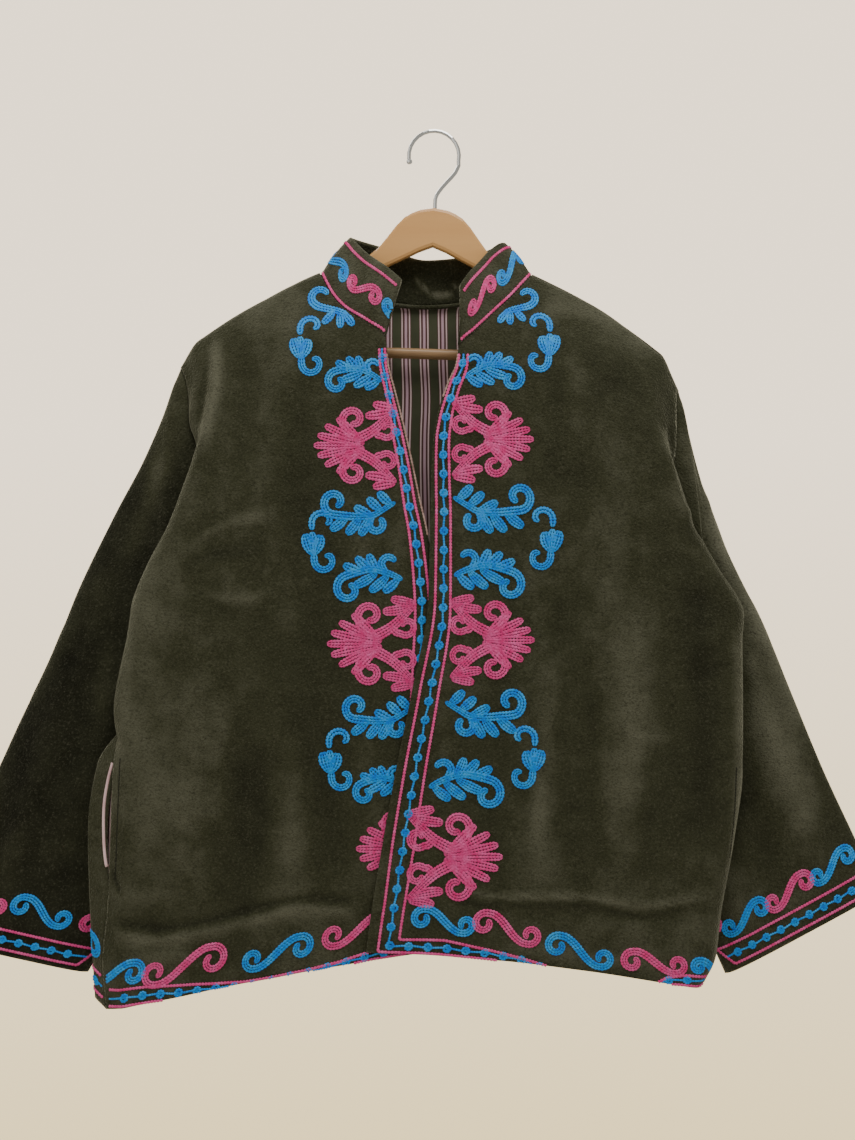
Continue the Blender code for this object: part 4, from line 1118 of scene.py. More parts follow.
# The seam thread is near black: its stitches are real, and its darkness is painted shade in the pocket seams
SEAM_SHADE_THREAD = make_thread("seam_shade_thread", (0.010, 0.010, 0.006), (0.028, 0.028, 0.016))
print("finishes:", SATIN_FINISH.name, BLUE.name, PINK.name, PALE.name, SEAM_SHADE_THREAD.name)

# %% [markdown]
# ## The two fronts
# Each front is one panel from the shoulder to the hem. It rolls round to the side over a soft edge and
# meets the back at the side seam. The folds are laid into it before it is made a mesh, because they then
# also move the embroidery that is sewn on it later.

# %% Fronts
VELVET_THICK = 2.0
TOWARDS_VIEWER = Vector((0, -1, 0))
AWAY = Vector((0, 1, 0))
FRONTS = {}
for name, table, folds, brushed_and_painted_light, facing, seed in (
    ("front_right", FRONT_RIGHT, FOLDS_FRONT_RIGHT, PAINTED_LIGHT_FRONT_RIGHT, -1, 3),
    ("front_left", FRONT_LEFT, FOLDS_FRONT_LEFT, PAINTED_LIGHT_FRONT_LEFT, 1, 8),
):
    net = finished_net(grid(panel_controls(table), ROWS, COLUMNS), folds, facing, seed)
    mesh = net_mesh(name + "_velvet", net, painted_light_and_tone=painted_light_of_velvet(net, folds, brushed_and_painted_light))
    turn_outwards(mesh, lambda centre: TOWARDS_VIEWER)
    tell(name, measured_uv(mesh, net), mesh)
    finishes = [VELVET_FINISH, LINING_FINISH]
    FRONTS[name] = net, piece(name + "_velvet", mesh, finishes, name, thick=VELVET_THICK, inside=1)

# %% [markdown]
# ## The back
# The back is one panel without a middle seam. It hangs a little behind the fronts, and pulls forward to
# the side seams. Where a hand would go into the pockets it stands off the front.

# %% Back
BACK_NET = finished_net(back_grid(ROWS, COLUMNS, NECK_COLUMNS), FOLDS_BACK, -1, 5, 0.9)
mesh = net_mesh("back_velvet", BACK_NET, painted_light_and_tone=painted_light_of_velvet(BACK_NET, FOLDS_BACK, PAINTED_LIGHT_BACK))
turn_outwards(mesh, lambda centre: AWAY)
tell("back", measured_uv(mesh, BACK_NET), mesh)
BACK = piece("back_velvet", mesh, [VELVET_FINISH, LINING_FINISH], "back", thick=VELVET_THICK, inside=1)

# %% [markdown]
# ## The sleeves
# A sleeve is a flat tube, sewn to the armhole and wider at the cuff. Its first ring follows the armhole
# just inside the body's edge, so that the body laps it like a sewn seam. One closed net makes the whole
# tube, because two halves would show a join at the fold.

# %% Shape of a sleeve
SLEEVE_STEP = 5.0
HEAD_TUCK = (9.0, 12.0, 10.0, 5.0)
GAPE_Z = -353
UNDERARM_Z = -572
FOLD_SHIFT = (9, -16)
FOLD_ROOM = 9.0


def tucked_head(rings, facing):
    """The head of a sleeve tucked under the body; the left one comes forward where its armhole gapes."""
    for ring, tuck in zip(rings, HEAD_TUCK):
        ring[:, 0] -= facing * tuck * ROUND_SHARE**1.2
    if facing > 0:
        front = rings[: len(HEAD_TUCK), : len(RING_SHARE)]
        front[..., 1] -= 2.0 * np.exp(-(((front[..., 2] - GAPE_Z) / 14) ** 2))
    return rings


def even_tube(rings):
    """A tube's rings read again with points in even steps down it and round it, without a last column."""
    count = rings.shape[1]
    closed = np.concatenate([rings, rings[:, :1]], axis=1)
    at = np.linspace(0, len(rings) - 1, 361)
    down = smooth(closed, even(smooth(closed, at)[:, 4], SLEEVE_STEP, at))
    wrapped = np.concatenate([down[:, -3:-1], down, down[:, 1:3]], axis=1)
    turn = np.linspace(0, count, 24 * count + 1)
    columns = even(smooth(wrapped[40], turn + 2), SLEEVE_STEP, turn)
    return smooth(wrapped.transpose(1, 0, 2), columns + 2).transpose(1, 0, 2)[:, :-1]


def sleeve_net(table, front_rows, back_rows, facing, folds, seed):
    """The closed net of a sleeve, with folds on its front and similar ones behind."""
    rings = sleeve_rings(table, panel_controls(front_rows), panel_controls(back_rows), facing)
    net = even_tube(tucked_head(rings, facing))
    centre = net.mean(axis=1, keepdims=True)
    normal = facing_away(normals(net, closed=True), net, centre)
    waved = net + normal * ripple(net, seed, 120.0, 0.7)[..., None]
    front_side = np.clip((centre[..., 1] - net[..., 1]) / 5.0 + 0.5, 0, 1)[..., None]
    room = np.abs(waved[..., 1] - centre[..., 1]) / FOLD_ROOM
    normal = normal * np.clip(room, 0, 1)[..., None]
    moved = []
    for rise, width, fade, line in folds:
        there = [(x + FOLD_SHIFT[0] * facing, z + FOLD_SHIFT[1]) for x, z in line]
        moved.append((-rise, width, fade, there))
    behind = lay_folds(waved, normal, moved)
    net = lay_folds(waved, normal, folds) * front_side + behind * (1 - front_side)
    if facing > 0:
        from_fold = net[..., 0] - net[..., 0].min(axis=1, keepdims=True)
        near = np.exp(-((from_fold / 16) ** 2) - ((net[..., 2] - UNDERARM_Z) / 26) ** 2)
        net[..., 0] -= 5.0 * near
    return np.concatenate([net, net[:, :1]], axis=1)


# %% Walls of a sleeve
THINNEST = 0.08
OPEN_ROOM = 99.0
CUFF_LINING_Z = -760


def thin_where_flat(obj, thick):
    """Keep a tube's wall within half the room inside it, so that no lining comes out at a sharp fold."""
    mesh = obj.data
    faces = [tuple(face.vertices) for face in mesh.polygons]
    tree = BVHTree.FromPolygons([vert.co for vert in mesh.vertices], faces)
    group = obj.vertex_groups.new(name="wall")
    start = 0.0004
    for vert in mesh.vertices:
        inwards = -vert.normal
        distance = tree.ray_cast(vert.co + inwards * start, inwards)[3]
        room = OPEN_ROOM if distance is None else (distance + start) * MM_IN_METRE
        share = min(1.0, max(THINNEST, (room / 2 - 0.3) / thick))
        group.add([vert.index], share, "REPLACE")
    obj.modifiers["thickness"].vertex_group = group.name


def velvet_inside(obj, lowest):
    """Finish the inside in velvet too above a height, where a lining would only glint at a seam."""
    obj.data.materials.append(VELVET_FINISH)
    obj.data.materials.append(VELVET_FINISH)
    for face in obj.data.polygons:
        if face.center.z * MM_IN_METRE > lowest:
            face.material_index = 2


# %% Sleeves
SLEEVES = {}
# The right sleeve's base of -0.5 is painted shade over the whole sleeve, which hangs in shade; each table
# adds more painted light and shade
for name, tables, facing, folds, brushed_and_painted_light, base, seed in (
    (
        "sleeve_right", (SLEEVE_RIGHT, FRONT_RIGHT, BACK_RIGHT),
        -1, FOLDS_SLEEVE_RIGHT, PAINTED_LIGHT_SLEEVE_RIGHT, -0.5, 21,
    ),
    (
        "sleeve_left", (SLEEVE_LEFT, FRONT_LEFT, BACK_LEFT),
        1, FOLDS_SLEEVE_LEFT, PAINTED_LIGHT_SLEEVE_LEFT, 0.0, 34,
    ),
):
    net = sleeve_net(*tables, facing, folds, seed)
    mesh = net_mesh(name + "_velvet", net, closed=True, painted_light_and_tone=painted_light_of_velvet(net, folds, brushed_and_painted_light, base))
    middle = Vector(net.reshape(-1, 3).mean(axis=0) * MM)
    turn_outwards(mesh, lambda centre: Vector((0, centre.y - middle.y, 0)))
    tell(name, measured_uv(mesh, net), mesh)
    halves = [name + "_front", name + "_back"]
    finishes = [VELVET_FINISH, LINING_FINISH]
    obj = piece(name + "_velvet", mesh, finishes, *halves, thick=VELVET_THICK, inside=1)
    thin_where_flat(obj, VELVET_THICK)
    velvet_inside(obj, CUFF_LINING_Z)
    SLEEVES[name] = net, obj

# %% [markdown]
# ## The stand collar
# The collar is a doubled strip, padded to about 4 mm, that stands on the neckline and leans outwards at
# the front. Its section is one closed loop: up the outside, over a round top and down the inside. That
# loop is carried round the neck, and the two front ends are filled. Solidify would leave the top edge
# square, while doubled velvet turns over in a round fold.

# %% Collar
COLLAR_THICK = 4.4
COLLAR_BOW = 2.2
COLLAR_STEP = 4.0
TOP_POINTS = 5
OUTER_SHARES = np.array([0.0, 0.1, 0.25, 0.4, 0.55, 0.7, 0.84, 0.93])
OUTSIDE = slice(0, len(OUTER_SHARES))
INSIDE = slice(len(OUTER_SHARES) + TOP_POINTS, 2 * len(OUTER_SHARES) + TOP_POINTS)


def collar_stations(at):
    """Neckline points and top points at fractional stations, 0 to 18, round the neck."""
    right = panel_controls(FRONT_RIGHT)[:, :1]
    left = panel_controls(FRONT_LEFT)[:, :1]
    neck = back_controls()[1]
    low = []
    for s in at:
        if s <= 6:
            low.append(smooth(right, [6 - s])[0, 0])
        elif s < 12:
            low.append(grid(neck, [0.0], [s - 6])[0, 0])
        else:
            low.append(smooth(left, [s - 12])[0, 0])
    return np.array(low), smooth(np.array(COLLAR_TOP, float), at)


def collar_net(at):
    """Closed sections of the collar, one row for each place round the section, and its normals."""
    low, high = collar_stations(at)
    rise = high - low
    outer = np.stack([low + rise * share for share in OUTER_SHARES])
    normal = facing_away(normals(outer), outer, outer.mean(axis=(0, 1)))
    bow = np.sin(math.pi * OUTER_SHARES) ** 0.8 * COLLAR_BOW
    outer = outer + normal * bow[:, None, None]
    inner = outer - normal * COLLAR_THICK
    top = []
    for k in range(1, TOP_POINTS + 1):
        turn = math.pi * k / (TOP_POINTS + 1)
        side = (outer[-1] + inner[-1]) / 2 + (outer[-1] - inner[-1]) / 2 * math.cos(turn)
        top.append(side + rise * 0.07 * math.sin(turn))
    rows = [*outer, *top, *inner[::-1]]
    return np.stack(rows + [rows[0]]), normal


# %% Make the collar
# Inside, the collar has painted shade, with one painted highlight along a sagging fold
PAINTED_LIGHT_COLLAR = [(1.3, 4, 6, [(-19, -144), (-10, -157), (2, -163), (14, -163), (27, -152)])]
OUTSIDE_TONE = 0.18
INSIDE_PAINTED_SHADE = -0.45

fine = np.linspace(0, 18, 721)
at = even(collar_stations(fine)[1], COLLAR_STEP, fine)
COLLAR_NET, COLLAR_NORMAL = collar_net(at)
painted_light_and_tone = np.full(COLLAR_NET.shape[:2], OUTSIDE_TONE)
painted_light_and_tone[INSIDE] = painted_light_of_velvet(COLLAR_NET[INSIDE], [], PAINTED_LIGHT_COLLAR, INSIDE_PAINTED_SHADE)
mesh = net_mesh("collar_velvet", COLLAR_NET, closed=True, painted_light_and_tone=painted_light_and_tone)
bm = bmesh.new()
bm.from_mesh(mesh)
ends = [edge for edge in bm.edges if edge.is_boundary]
bmesh.ops.holes_fill(bm, edges=ends, sides=0)
bmesh.ops.recalc_face_normals(bm, faces=bm.faces)
bm.to_mesh(mesh)
bm.free()
COLLAR = piece("collar_velvet", mesh, [VELVET_FINISH], "collar")
print("collar stations:", len(at), "faces:", len(mesh.polygons))

# %% [markdown]
# ## The roll over the back neck seam
# Inside, the seam between the collar and the back is covered by a narrow roll of velvet. A curve with a
# round bevel makes it: its path is the neckline itself, set a little forward and down.

# %% Neck roll
ROLL_SET = (0.0, -8.9, -1.2)
ROLL_RADIUS = 2.3


def round_curve(name, path, radius, finish, node, points=4):
    """A round cord along a path in millimetres."""
    curve = bpy.data.curves.new(name, "CURVE")
    curve.dimensions = "3D"
    curve.bevel_depth = radius * MM
    curve.bevel_resolution = points
    curve.use_fill_caps = True
    spline = curve.splines.new("POLY")
    spline.points.add(len(path) - 1)
    for point, place in zip(spline.points, path):
        point.co = (*(np.array(place) * MM), 1.0)
    curve.materials.append(finish)
    obj = new_object(name, curve)
    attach(obj, "root")
    if node:
        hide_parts(node)


roll_path = grid(back_controls()[1], [0.0], np.linspace(1.7, 4.3, 60))[0] + np.array(ROLL_SET)
round_curve("neck_roll", roll_path, ROLL_RADIUS, VELVET_FINISH, "neck_binding")
print("neck roll points:", len(roll_path))

# %% [markdown]
# ## The linings
# The lining lies about 3 mm behind the velvet, sewn to it near the openings. Only the inside of the back
# is seen, through the neck, but all three linings are there. The linings of the fronts follow the folds
# of their velvet at part of the height, and the lining of the back has wrinkles of its own.

# %% Linings of the fronts
LINING_THICK = 1.0
LINING_DEPTH = 4.6
SEWN_DEPTH = 2.4
FOLD_SHARE = 0.4
LINING_ROWS = 100


def add_lining(node, base, normal, depth, direction):
    """One lining behind a net of velvet, at its own depth for each column."""
    net = base - normal * depth
    mesh = net_mesh(node + "_cloth", net)
    turn_outwards(mesh, lambda centre: direction)
    size = measured_uv(mesh, net)
    piece(node + "_cloth", mesh, [LINING_FINISH], node, thick=LINING_THICK)
    tell(node, size, mesh)


for side, table, facing, velvet_folds in (
    ("front_right", FRONT_RIGHT, -1, FOLDS_FRONT_RIGHT),
    ("front_left", FRONT_LEFT, 1, FOLDS_FRONT_LEFT),
):
    base = grid(panel_controls(table), np.linspace(3.5, 17.5, LINING_ROWS), np.linspace(0.5, 4.5, 36))
    normal = outward(base, facing)
    base = lay_folds(base, normal, velvet_folds, FOLD_SHARE)
    depth = np.full((1, base.shape[1], 1), LINING_DEPTH)
    depth[0, 0, 0] = SEWN_DEPTH
    add_lining(side + "_lining", base, normal, depth, TOWARDS_VIEWER)

# %% Lining of the back
LINING_WRINKLES = [
    (1.6, 9, 18, [(-52, -206), (-46, -240), (-49, -280)]),
    (-1.2, 8, 18, [(-24, -200), (-20, -244), (-26, -300)]),
    (1.4, 9, 18, [(6, -210), (10, -258), (4, -320)]),
    (-1.2, 8, 18, [(26, -204), (30, -250), (24, -300)]),
    (1.0, 6, 14, [(-40, -330), (-20, -344), (6, -350)]),
]
LINING_TOP = 3.4
LINING_HEM = 17.6
NECK_LIFT = 3.0


def back_lining_net():
    """The surface behind the back, whose top edge rises to the neck seam in the middle."""
    right, neck, left = back_controls()
    side_at = np.linspace(4.5, 0.0, 22)
    strips = [(right, at, 0.0) for at in side_at]
    strips += [(neck, at, 1 - min(1.0, abs(at - 3.0) / 2.0) ** 3) for at in np.linspace(1.0, 5.0, 19)]
    strips += [(left, at, 0.0) for at in side_at[::-1]]
    found = []
    for half, column_at, lift in strips:
        start = LINING_TOP - NECK_LIFT * lift
        rows_at = start + np.linspace(0, 1, LINING_ROWS) * (LINING_HEM - start)
        found.append(grid(half, rows_at, [column_at])[:, 0])
    return np.stack(found, axis=1)


base = back_lining_net()
normal = outward(base, -1)
base = lay_folds(base, -normal, LINING_WRINKLES)
add_lining("back_lining", base, normal, LINING_DEPTH, AWAY)

# %% [markdown]
# ## The satin at the pocket mouths
# The pockets are set in the side seams. Only a narrow edge of their pale satin facing shows, so it is a
# strip across the mouth, slightly puckered. A whole pocket bag would never be seen.

# %% Pocket facings
MOUTH_POINTS = 60
FACING_POINTS = 10
FACING_DEPTH = 2.8
for name, table, facing, reach in (
    ("pocket_right", FRONT_RIGHT, -1, (-3.4, 8.4, 0.0)),
    ("pocket_left", FRONT_LEFT, 1, (-8.0, 7.5, 0.0)),
):
    at = np.linspace(POCKET_FROM + 0.2, POCKET_TO - 0.2, MOUTH_POINTS)
    mouth = grid(panel_controls(table), at, [5.2, 5.6, 6.0])
    edge_in = (mouth - outward(mouth, facing) * FACING_DEPTH)[:, 1]
    edge_out = mouth[:, 2] + np.array(reach)
    across = np.linspace(0, 1, FACING_POINTS)[None, :, None]
    net = edge_in[:, None] * (1 - across) + edge_out[:, None] * across
    along_mouth = np.sin(np.linspace(0, 17, MOUTH_POINTS))[:, None]
    pucker = along_mouth * np.sin(np.linspace(0, math.pi, FACING_POINTS))[None]
    net = net + outward(net, facing) * (pucker * 0.5)[..., None]
    mesh = net_mesh(name + "_satin", net)
    turn_outwards(mesh, lambda centre: TOWARDS_VIEWER)
    piece(name + "_satin", mesh, [SATIN_FINISH], name, thick=1.0)
    print(name, "faces:", len(mesh.polygons))

# %% [markdown]
# ## The hanger
# A plain wooden hanger: bevelled beech arms, a ribbed oak bar and a chrome hook. Their solids already
# have the right shape, so they stay, with a better finish. Wood grain is noise that is drawn out along
# the arms, and the hook's gloss is broken a little, as handled chrome is.


# %% Wood and chrome
def make_wood(name, dark, light, scale, rough):
    """Wood with grain along its length, read from Object coordinates stretched along X."""
    made, tree, shader, here = new_material(name, rough)
    bands = noise(tree, stretched(tree, here, (0.08, 1.0, 1.0)), scale, 5.0, 0.6)
    colour = blend_colours(tree, spread_value(tree, bands, 0.3, 0.7), dark, light)
    tree.links.new(colour, shader.inputs["Base Color"])
    add_bump(tree, shader, bands, 0.0003, 0.3)
    shader.inputs["Coat Weight"].default_value = 0.25
    shader.inputs["Coat Roughness"].default_value = 0.25
    return made


def make_chrome():
    """Bright chrome, scuffed here and there."""
    made, tree, shader, here = new_material("polished_chrome", 0.12, metallic=1.0)
    scuffs = place_group(tree, PATCHES, here, 120.0)
    rough = spread_value(tree, scuffs, 0.0, 1.0, 0.08, 0.22)
    tree.links.new(rough, shader.inputs["Roughness"])
    shader.inputs["Base Color"].default_value = (0.62, 0.62, 0.61, 1)
    return made


BEECH = make_wood("lacquered_beech", (0.70, 0.355, 0.115), (0.76, 0.41, 0.14), 60.0, 0.45)
OAK = make_wood("ribbed_oak", (0.22, 0.115, 0.045), (0.46, 0.27, 0.12), 160.0, 0.5)
CHROME = make_chrome()
for node, finish in (("hanger_yoke", BEECH), ("hanger_bar", OAK), ("hanger_hook", CHROME)):
    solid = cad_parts[node]
    solid.data.materials.clear()
    solid.data.materials.append(finish)
print("hanger finished:", BEECH.name, OAK.name, CHROME.name)

# %% [markdown]
# ## Embroidery in chain stitch
# The flowers and scrolls are worked by hand in rows of chain stitch, in loose blue and pink thread. A
# design is drawn here as a few strokes: lobes, stems and curls, each with a width at its start, middle and
# end. Every stroke is filled with rows of stitches that close up where it narrows. The designs are plain
# members of the suzani family: two leaf sprays, a bud with two tendrils, a fan flower, a sprig and an
# S-shaped scroll. A printed pattern would be flat, while real stitches catch the light from every side.


# %% Parts of a design
def spiral(centre, radius, start, turns, shrink=0.4, count=9):
    """A curl that winds in round a centre, from an angle in degrees through some turns."""
    line = []
    for k in range(count):
        part = k / (count - 1)
        angle = math.radians(start + 360 * turns * part)
        reach = radius * (1 - shrink * part)
        line.append((centre[0] + reach * math.cos(angle), centre[1] + reach * math.sin(angle)))
    return line


def lobe(x, z, angle, length, width, bend=14.0):
    """A rounded leaf lobe from its root, at an angle in degrees, widest near its tip."""
    line = [(x, z)]
    for k in range(4):
        turn = math.radians(angle + bend * (k - 1.5) / 3)
        x += length / 4 * math.cos(turn)
        z += length / 4 * math.sin(turn)
        line.append((x, z))
    return (0.5 * width, width, 0.8 * width), line


def mirrored(strokes, across=False, upright=False):
    """The same strokes, turned over in x, in z, or in both."""
    sx = -1 if across else 1
    sz = -1 if upright else 1
    return [(width, [(x * sx, z * sz) for x, z in line]) for width, line in strokes]


def rotated(strokes, angle, place, scale=1.0, swell=1.0):
    """Strokes turned by an angle in degrees, scaled and set at a place."""
    c = math.cos(math.radians(angle)) * scale
    s = math.sin(math.radians(angle)) * scale
    found = []
    for width, line in strokes:
        turned = [(place[0] + x * c - z * s, place[1] + x * s + z * c) for x, z in line]
        found.append((tuple(w * swell for w in width), turned))
    return found


# %% Leaf sprays and bud
LEAF_UP = [
    ((5, 9.5, 7.5), [(2, 15), (15, 7), (28, 0), (44, -1), (60, 0)]
     + spiral((69, 15), 14, -68, 0.92, 0.72, 12)),
    lobe(6, 12, 44, 21, 11),
    lobe(17, 6, 41, 21, 11),
    lobe(27, 0, 27, 23, 11),
    lobe(30, 0, -62, 25, 11.5),
    lobe(41, -1, -52, 25, 11.5),
    lobe(55, 0, -40, 25, 11.5),
    ((9, 8, 7.5), [(28, 2), (31, -8)] + spiral((22.5, -9), 9, -24, -0.62, 0.32)),
]
LEAF_DOWN = [
    ((6, 9.5, 7.5), [(3, 0), (18, 7), (38, 12), (57, 8)] + spiral((64, -11), 15.5, 64, -0.95, 0.76, 12)),
    ((8, 8, 7), [(22, 7), (27, 17)] + spiral((18.5, 18), 8.5, 12, 0.42, 0.15, 7)),
    lobe(31, 9, 62, 23, 11),
    lobe(38, 10, 42, 24, 11),
    lobe(47, 8, 22, 25, 11),
    lobe(7, 2, -42, 24, 11),
    lobe(19, 6, -42, 29, 11.5),
    lobe(32, 8, -30, 31, 11.5),
]
BUD = [
    ((7, 7, 6), [(1, 12), (1, 22), (-3, 28), (-10, 30), (-16, 27), (-17.5, 21), (-13, 18)]),
    ((8, 7, 6), [(-1, -12), (-2, -23), (-8, -29), (-16, -28), (-20, -22), (-18.5, -15), (-12, -15)]),
    ((5, 13, 11), [(1, -14), (5, -3), (8, 8)]),
    ((5, 13, 11), [(-1, -14), (-6, -2), (-7.5, 7)]),
    ((4, 9, 8), [(0, -15), (0, 0), (1, 10)]),
]
print("strokes in the leaf sprays:", len(LEAF_UP), len(LEAF_DOWN), "in the bud:", len(BUD))

# %% Fan flower
# Fingers are angle, x, z and reach; the first lies on the flower's own axis
FINGERS = [(0, 38, 0, 48), (13, 49, 3, 34), (27, 46, 6, 32), (42, 40, 8, 30)]
FAN_HALF = [
    ((5, 10, 12), [(2, 38), (13, 27), (26, 15), (44, 5)]),
    lobe(3, 39, 9, 23, 10.5),
    lobe(7, 35, -10, 27, 10.5),
    ((8, 6.5, 6), [(26, 16), (20, 10)] + spiral((11, 16.5), 9.5, -42, -0.92, 0.66)),
    ((9, 8, 7), [(40, 7), (51, 13)] + spiral((45.5, 26.5), 12.5, -46, 1, 0.74, 13)),
    ((8, 14, 12), [(34, 3), (46, 5), (58, 7)]),
]
FAN_SIDE = [lobe(x, z, angle, reach, 9.2, 0) for angle, x, z, reach in FINGERS]
FAN = FAN_HALF + FAN_SIDE + mirrored(FAN_HALF + FAN_SIDE[1:], upright=True)
print("strokes in a fan flower:", len(FAN))

# %% Sprig and scroll
SPRIG = [
    ((6, 8.5, 6), [(-8, -5), (0, -1), (11, 2), (18, 4)] + spiral((17, 14), 9, -62, 0.62, 0.3)),
    lobe(-4, -3, -126, 15, 8.5),
    lobe(0, -2, -95, 15, 8.5),
    lobe(4, 0, -50, 16, 8.5),
]
SCROLL_END = [(11, 8), (21, 12.5)] + spiral((29, 0), 13.2, 106, -1.0, 0.68, 12)
SCROLL_START = [(-x * 0.9, -z * 0.88) for x, z in SCROLL_END][::-1]
SCROLL = mirrored([((6.5, 9, 7), SCROLL_START + [(0, 0)] + SCROLL_END)], across=True)
print("points in a scroll:", len(SCROLL[0][1]))

# %% [markdown]
# ### Where stitches lie
# A flower on a front is placed by x and z, and finds the cloth by looking at it along Y. Borders, and the
# scrolls at the hem, the cuffs and the collar, are placed on the net of the piece itself: so many
# millimetres along its edge, and so many up from it. That keeps them true round a fold.


# %% Cloth seen along Y
class Ground:
    """Cloth that is found by looking at it along Y, at a place given by x and z."""

    def __init__(self, obj, facing):
        self.facing = facing
        bm = bmesh.new()
        bm.from_mesh(obj.data)
        self.tree = BVHTree.FromBMesh(bm)
        bm.free()

    def below(self, x, z):
        """The place on the cloth and its normal, or None beside the cloth."""
        start = Vector((x * MM, self.facing * 0.3, z * MM))
        place, normal = self.tree.ray_cast(start, Vector((0, -self.facing, 0)))[:2]
        if place is None:
            return None
        if normal.y * self.facing < 0:
            normal = -normal
        return np.array(place) * MM_IN_METRE, np.array(normal)


# %% Cloth measured from its edge
def read_net(values, i, j):
    """A value of a net at a fractional row and column."""
    i = min(max(i, 0.0), len(values) - 1.001)
    j = min(max(j, 0.0), values.shape[1] - 1.001)
    a, b = int(i), int(j)
    s, t = i - a, j - b
    top = values[a, b] * (1 - t) + values[a, b + 1] * t
    return top * (1 - s) + (values[a + 1, b] * (1 - t) + values[a + 1, b + 1] * t) * s


def read_row(values, i):
    """One row of a table of numbers at a fractional row number."""
    a = min(int(i), len(values) - 2)
    return values[a] * (1 - i + a) + values[a + 1] * (i - a)


class NetGround:
    """Cloth addressed along its edge and up from it; the net's last row is the edge."""

    def __init__(self, net, normal, ring=False, even_ends=False):
        self.net = net[::-1]
        self.normal = normal[::-1]
        self.ring = ring
        along = np.linalg.norm(np.diff(self.net, axis=1), axis=2)
        self.along = np.concatenate([np.zeros((len(net), 1)), np.cumsum(along, axis=1)], axis=1)
        up = np.linalg.norm(np.diff(self.net, axis=0), axis=2)
        self.up = np.concatenate([np.zeros((1, net.shape[1])), np.cumsum(up, axis=0)])
        if even_ends:
            self.along[:] = self.along.mean(axis=0)
        self.length = self.along[0, -1]

    def below(self, along, up):
        """The place on the cloth and its normal, or None past its ends or its edge."""
        if self.ring:
            along = along % self.length
        if up < 0 or along < 0 or along > self.length:
            return None
        i = 0.0
        for _ in range(4):
            j = np.interp(along, read_row(self.along, i), np.arange(self.net.shape[1]))
            i = np.interp(up, read_row(self.up.T, j), np.arange(len(self.net)))
        normal = read_net(self.normal, i, j)
        return read_net(self.net, i, j), normal / np.linalg.norm(normal)


# %% [markdown]
# ### Rows of chain stitch
# Every stitch is a small raised loop: two strands that part in the middle and meet at its end. A flat
# grid, five points wide, is laid along a row of stitches, and its points are moved to the strands and to
# the groove between them. A bent tube for every loop would need many more faces.

# %% Filling a stroke with rows
ROW = 3.0


def rounded(line, per=8):
    """A smooth curve through the points of a line."""
    line = np.array(line, float)
    p = np.concatenate([2 * line[:1] - line[1:2], line, 2 * line[-1:] - line[-2:-1]])
    found = []
    for k in range(len(line) - 1):
        for t in np.linspace(0, 1, per, endpoint=False):
            one = 2 * p[k + 1] + (p[k + 2] - p[k]) * t
            two = (2 * p[k] - 5 * p[k + 1] + 4 * p[k + 2] - p[k + 3]) * t * t
            three = (3 * p[k + 1] - p[k] - 3 * p[k + 2] + p[k + 3]) * t**3
            found.append((one + two + three) / 2)
    return np.array(found + [line[-1]])


def sideways(path):
    """Unit vectors across a line drawn in two dimensions, to its left."""
    along = unit(np.gradient(path, axis=0))
    return np.stack([-along[:, 1], along[:, 0]], axis=1)


def stroke_rows(width, line):
    """Rows of (x, z, width of the row) that fill one stroke of varying width, with round ends."""
    path = rounded(line)
    length = lengths(path)
    half = np.interp(length / length[-1], [0, 0.5, 1], width) / 2
    from_end = np.minimum(length, length[-1] - length)
    cap = np.clip(from_end / np.maximum(half, 0.5), 0.06, 1)
    half = half * np.sqrt(1 - (1 - cap) ** 2)
    side = sideways(path)
    count = max(1, int(round(max(width) / ROW)))
    rows = []
    for k in range(count):
        offset = ((2 * k + 1) / count - 1) * half
        row = path + side * offset[:, None]
        rows.append(np.concatenate([row, (2 * half / count)[:, None]], axis=1))
    return rows


def steps_along(path, step):
    """Points of a line at equal steps."""
    length = lengths(path[:, :2])
    count = max(2, int(round(length[-1] / step)))
    at = np.linspace(0, length[-1], count + 1)
    return np.stack([np.interp(at, length, path[:, k]) for k in range(path.shape[1])], axis=1)


print("rows in a stroke 9 mm wide:", len(stroke_rows((9, 9, 9), [(0, 0), (30, 0)])))

# %% Laying stitches on the cloth
STITCH = 3.3
STITCH_HIGH = 1.5

# Across a row: the place and the height of each point, as shares of the width and the height
PROFILE = [(-0.5, -0.4), (-0.33, 0.8), (0.0, 0.22), (0.33, 0.8), (0.5, -0.4)]

# Along a stitch: the place of each ring, and its width and height; then the ring that ends a row
RINGS = [(0.0, 0.50, 0.42), (0.30, 0.96, 1.0), (0.72, 1.06, 1.05)]
LAST_RING = (0.5, 0.4)


def lay_grid(bm, run):
    """A grid laid over the cloth as two raised strands with a groove between them."""
    if len(run) < 4:
        return
    centre = np.array([item[0] for item in run])
    normal = np.array([item[1] for item in run])
    side = np.cross(normal, unit(np.gradient(centre, axis=0)))
    made = bmesh.ops.create_grid(bm, x_segments=len(PROFILE) - 1, y_segments=len(run) - 1, size=0.5)
    for vert in made["verts"]:
        i, j = grid_place(vert, len(run), len(PROFILE))
        across, up = PROFILE[j]
        vert.co = (centre[i] + side[i] * across * run[i][2] + normal[i] * up * run[i][3]) * MM


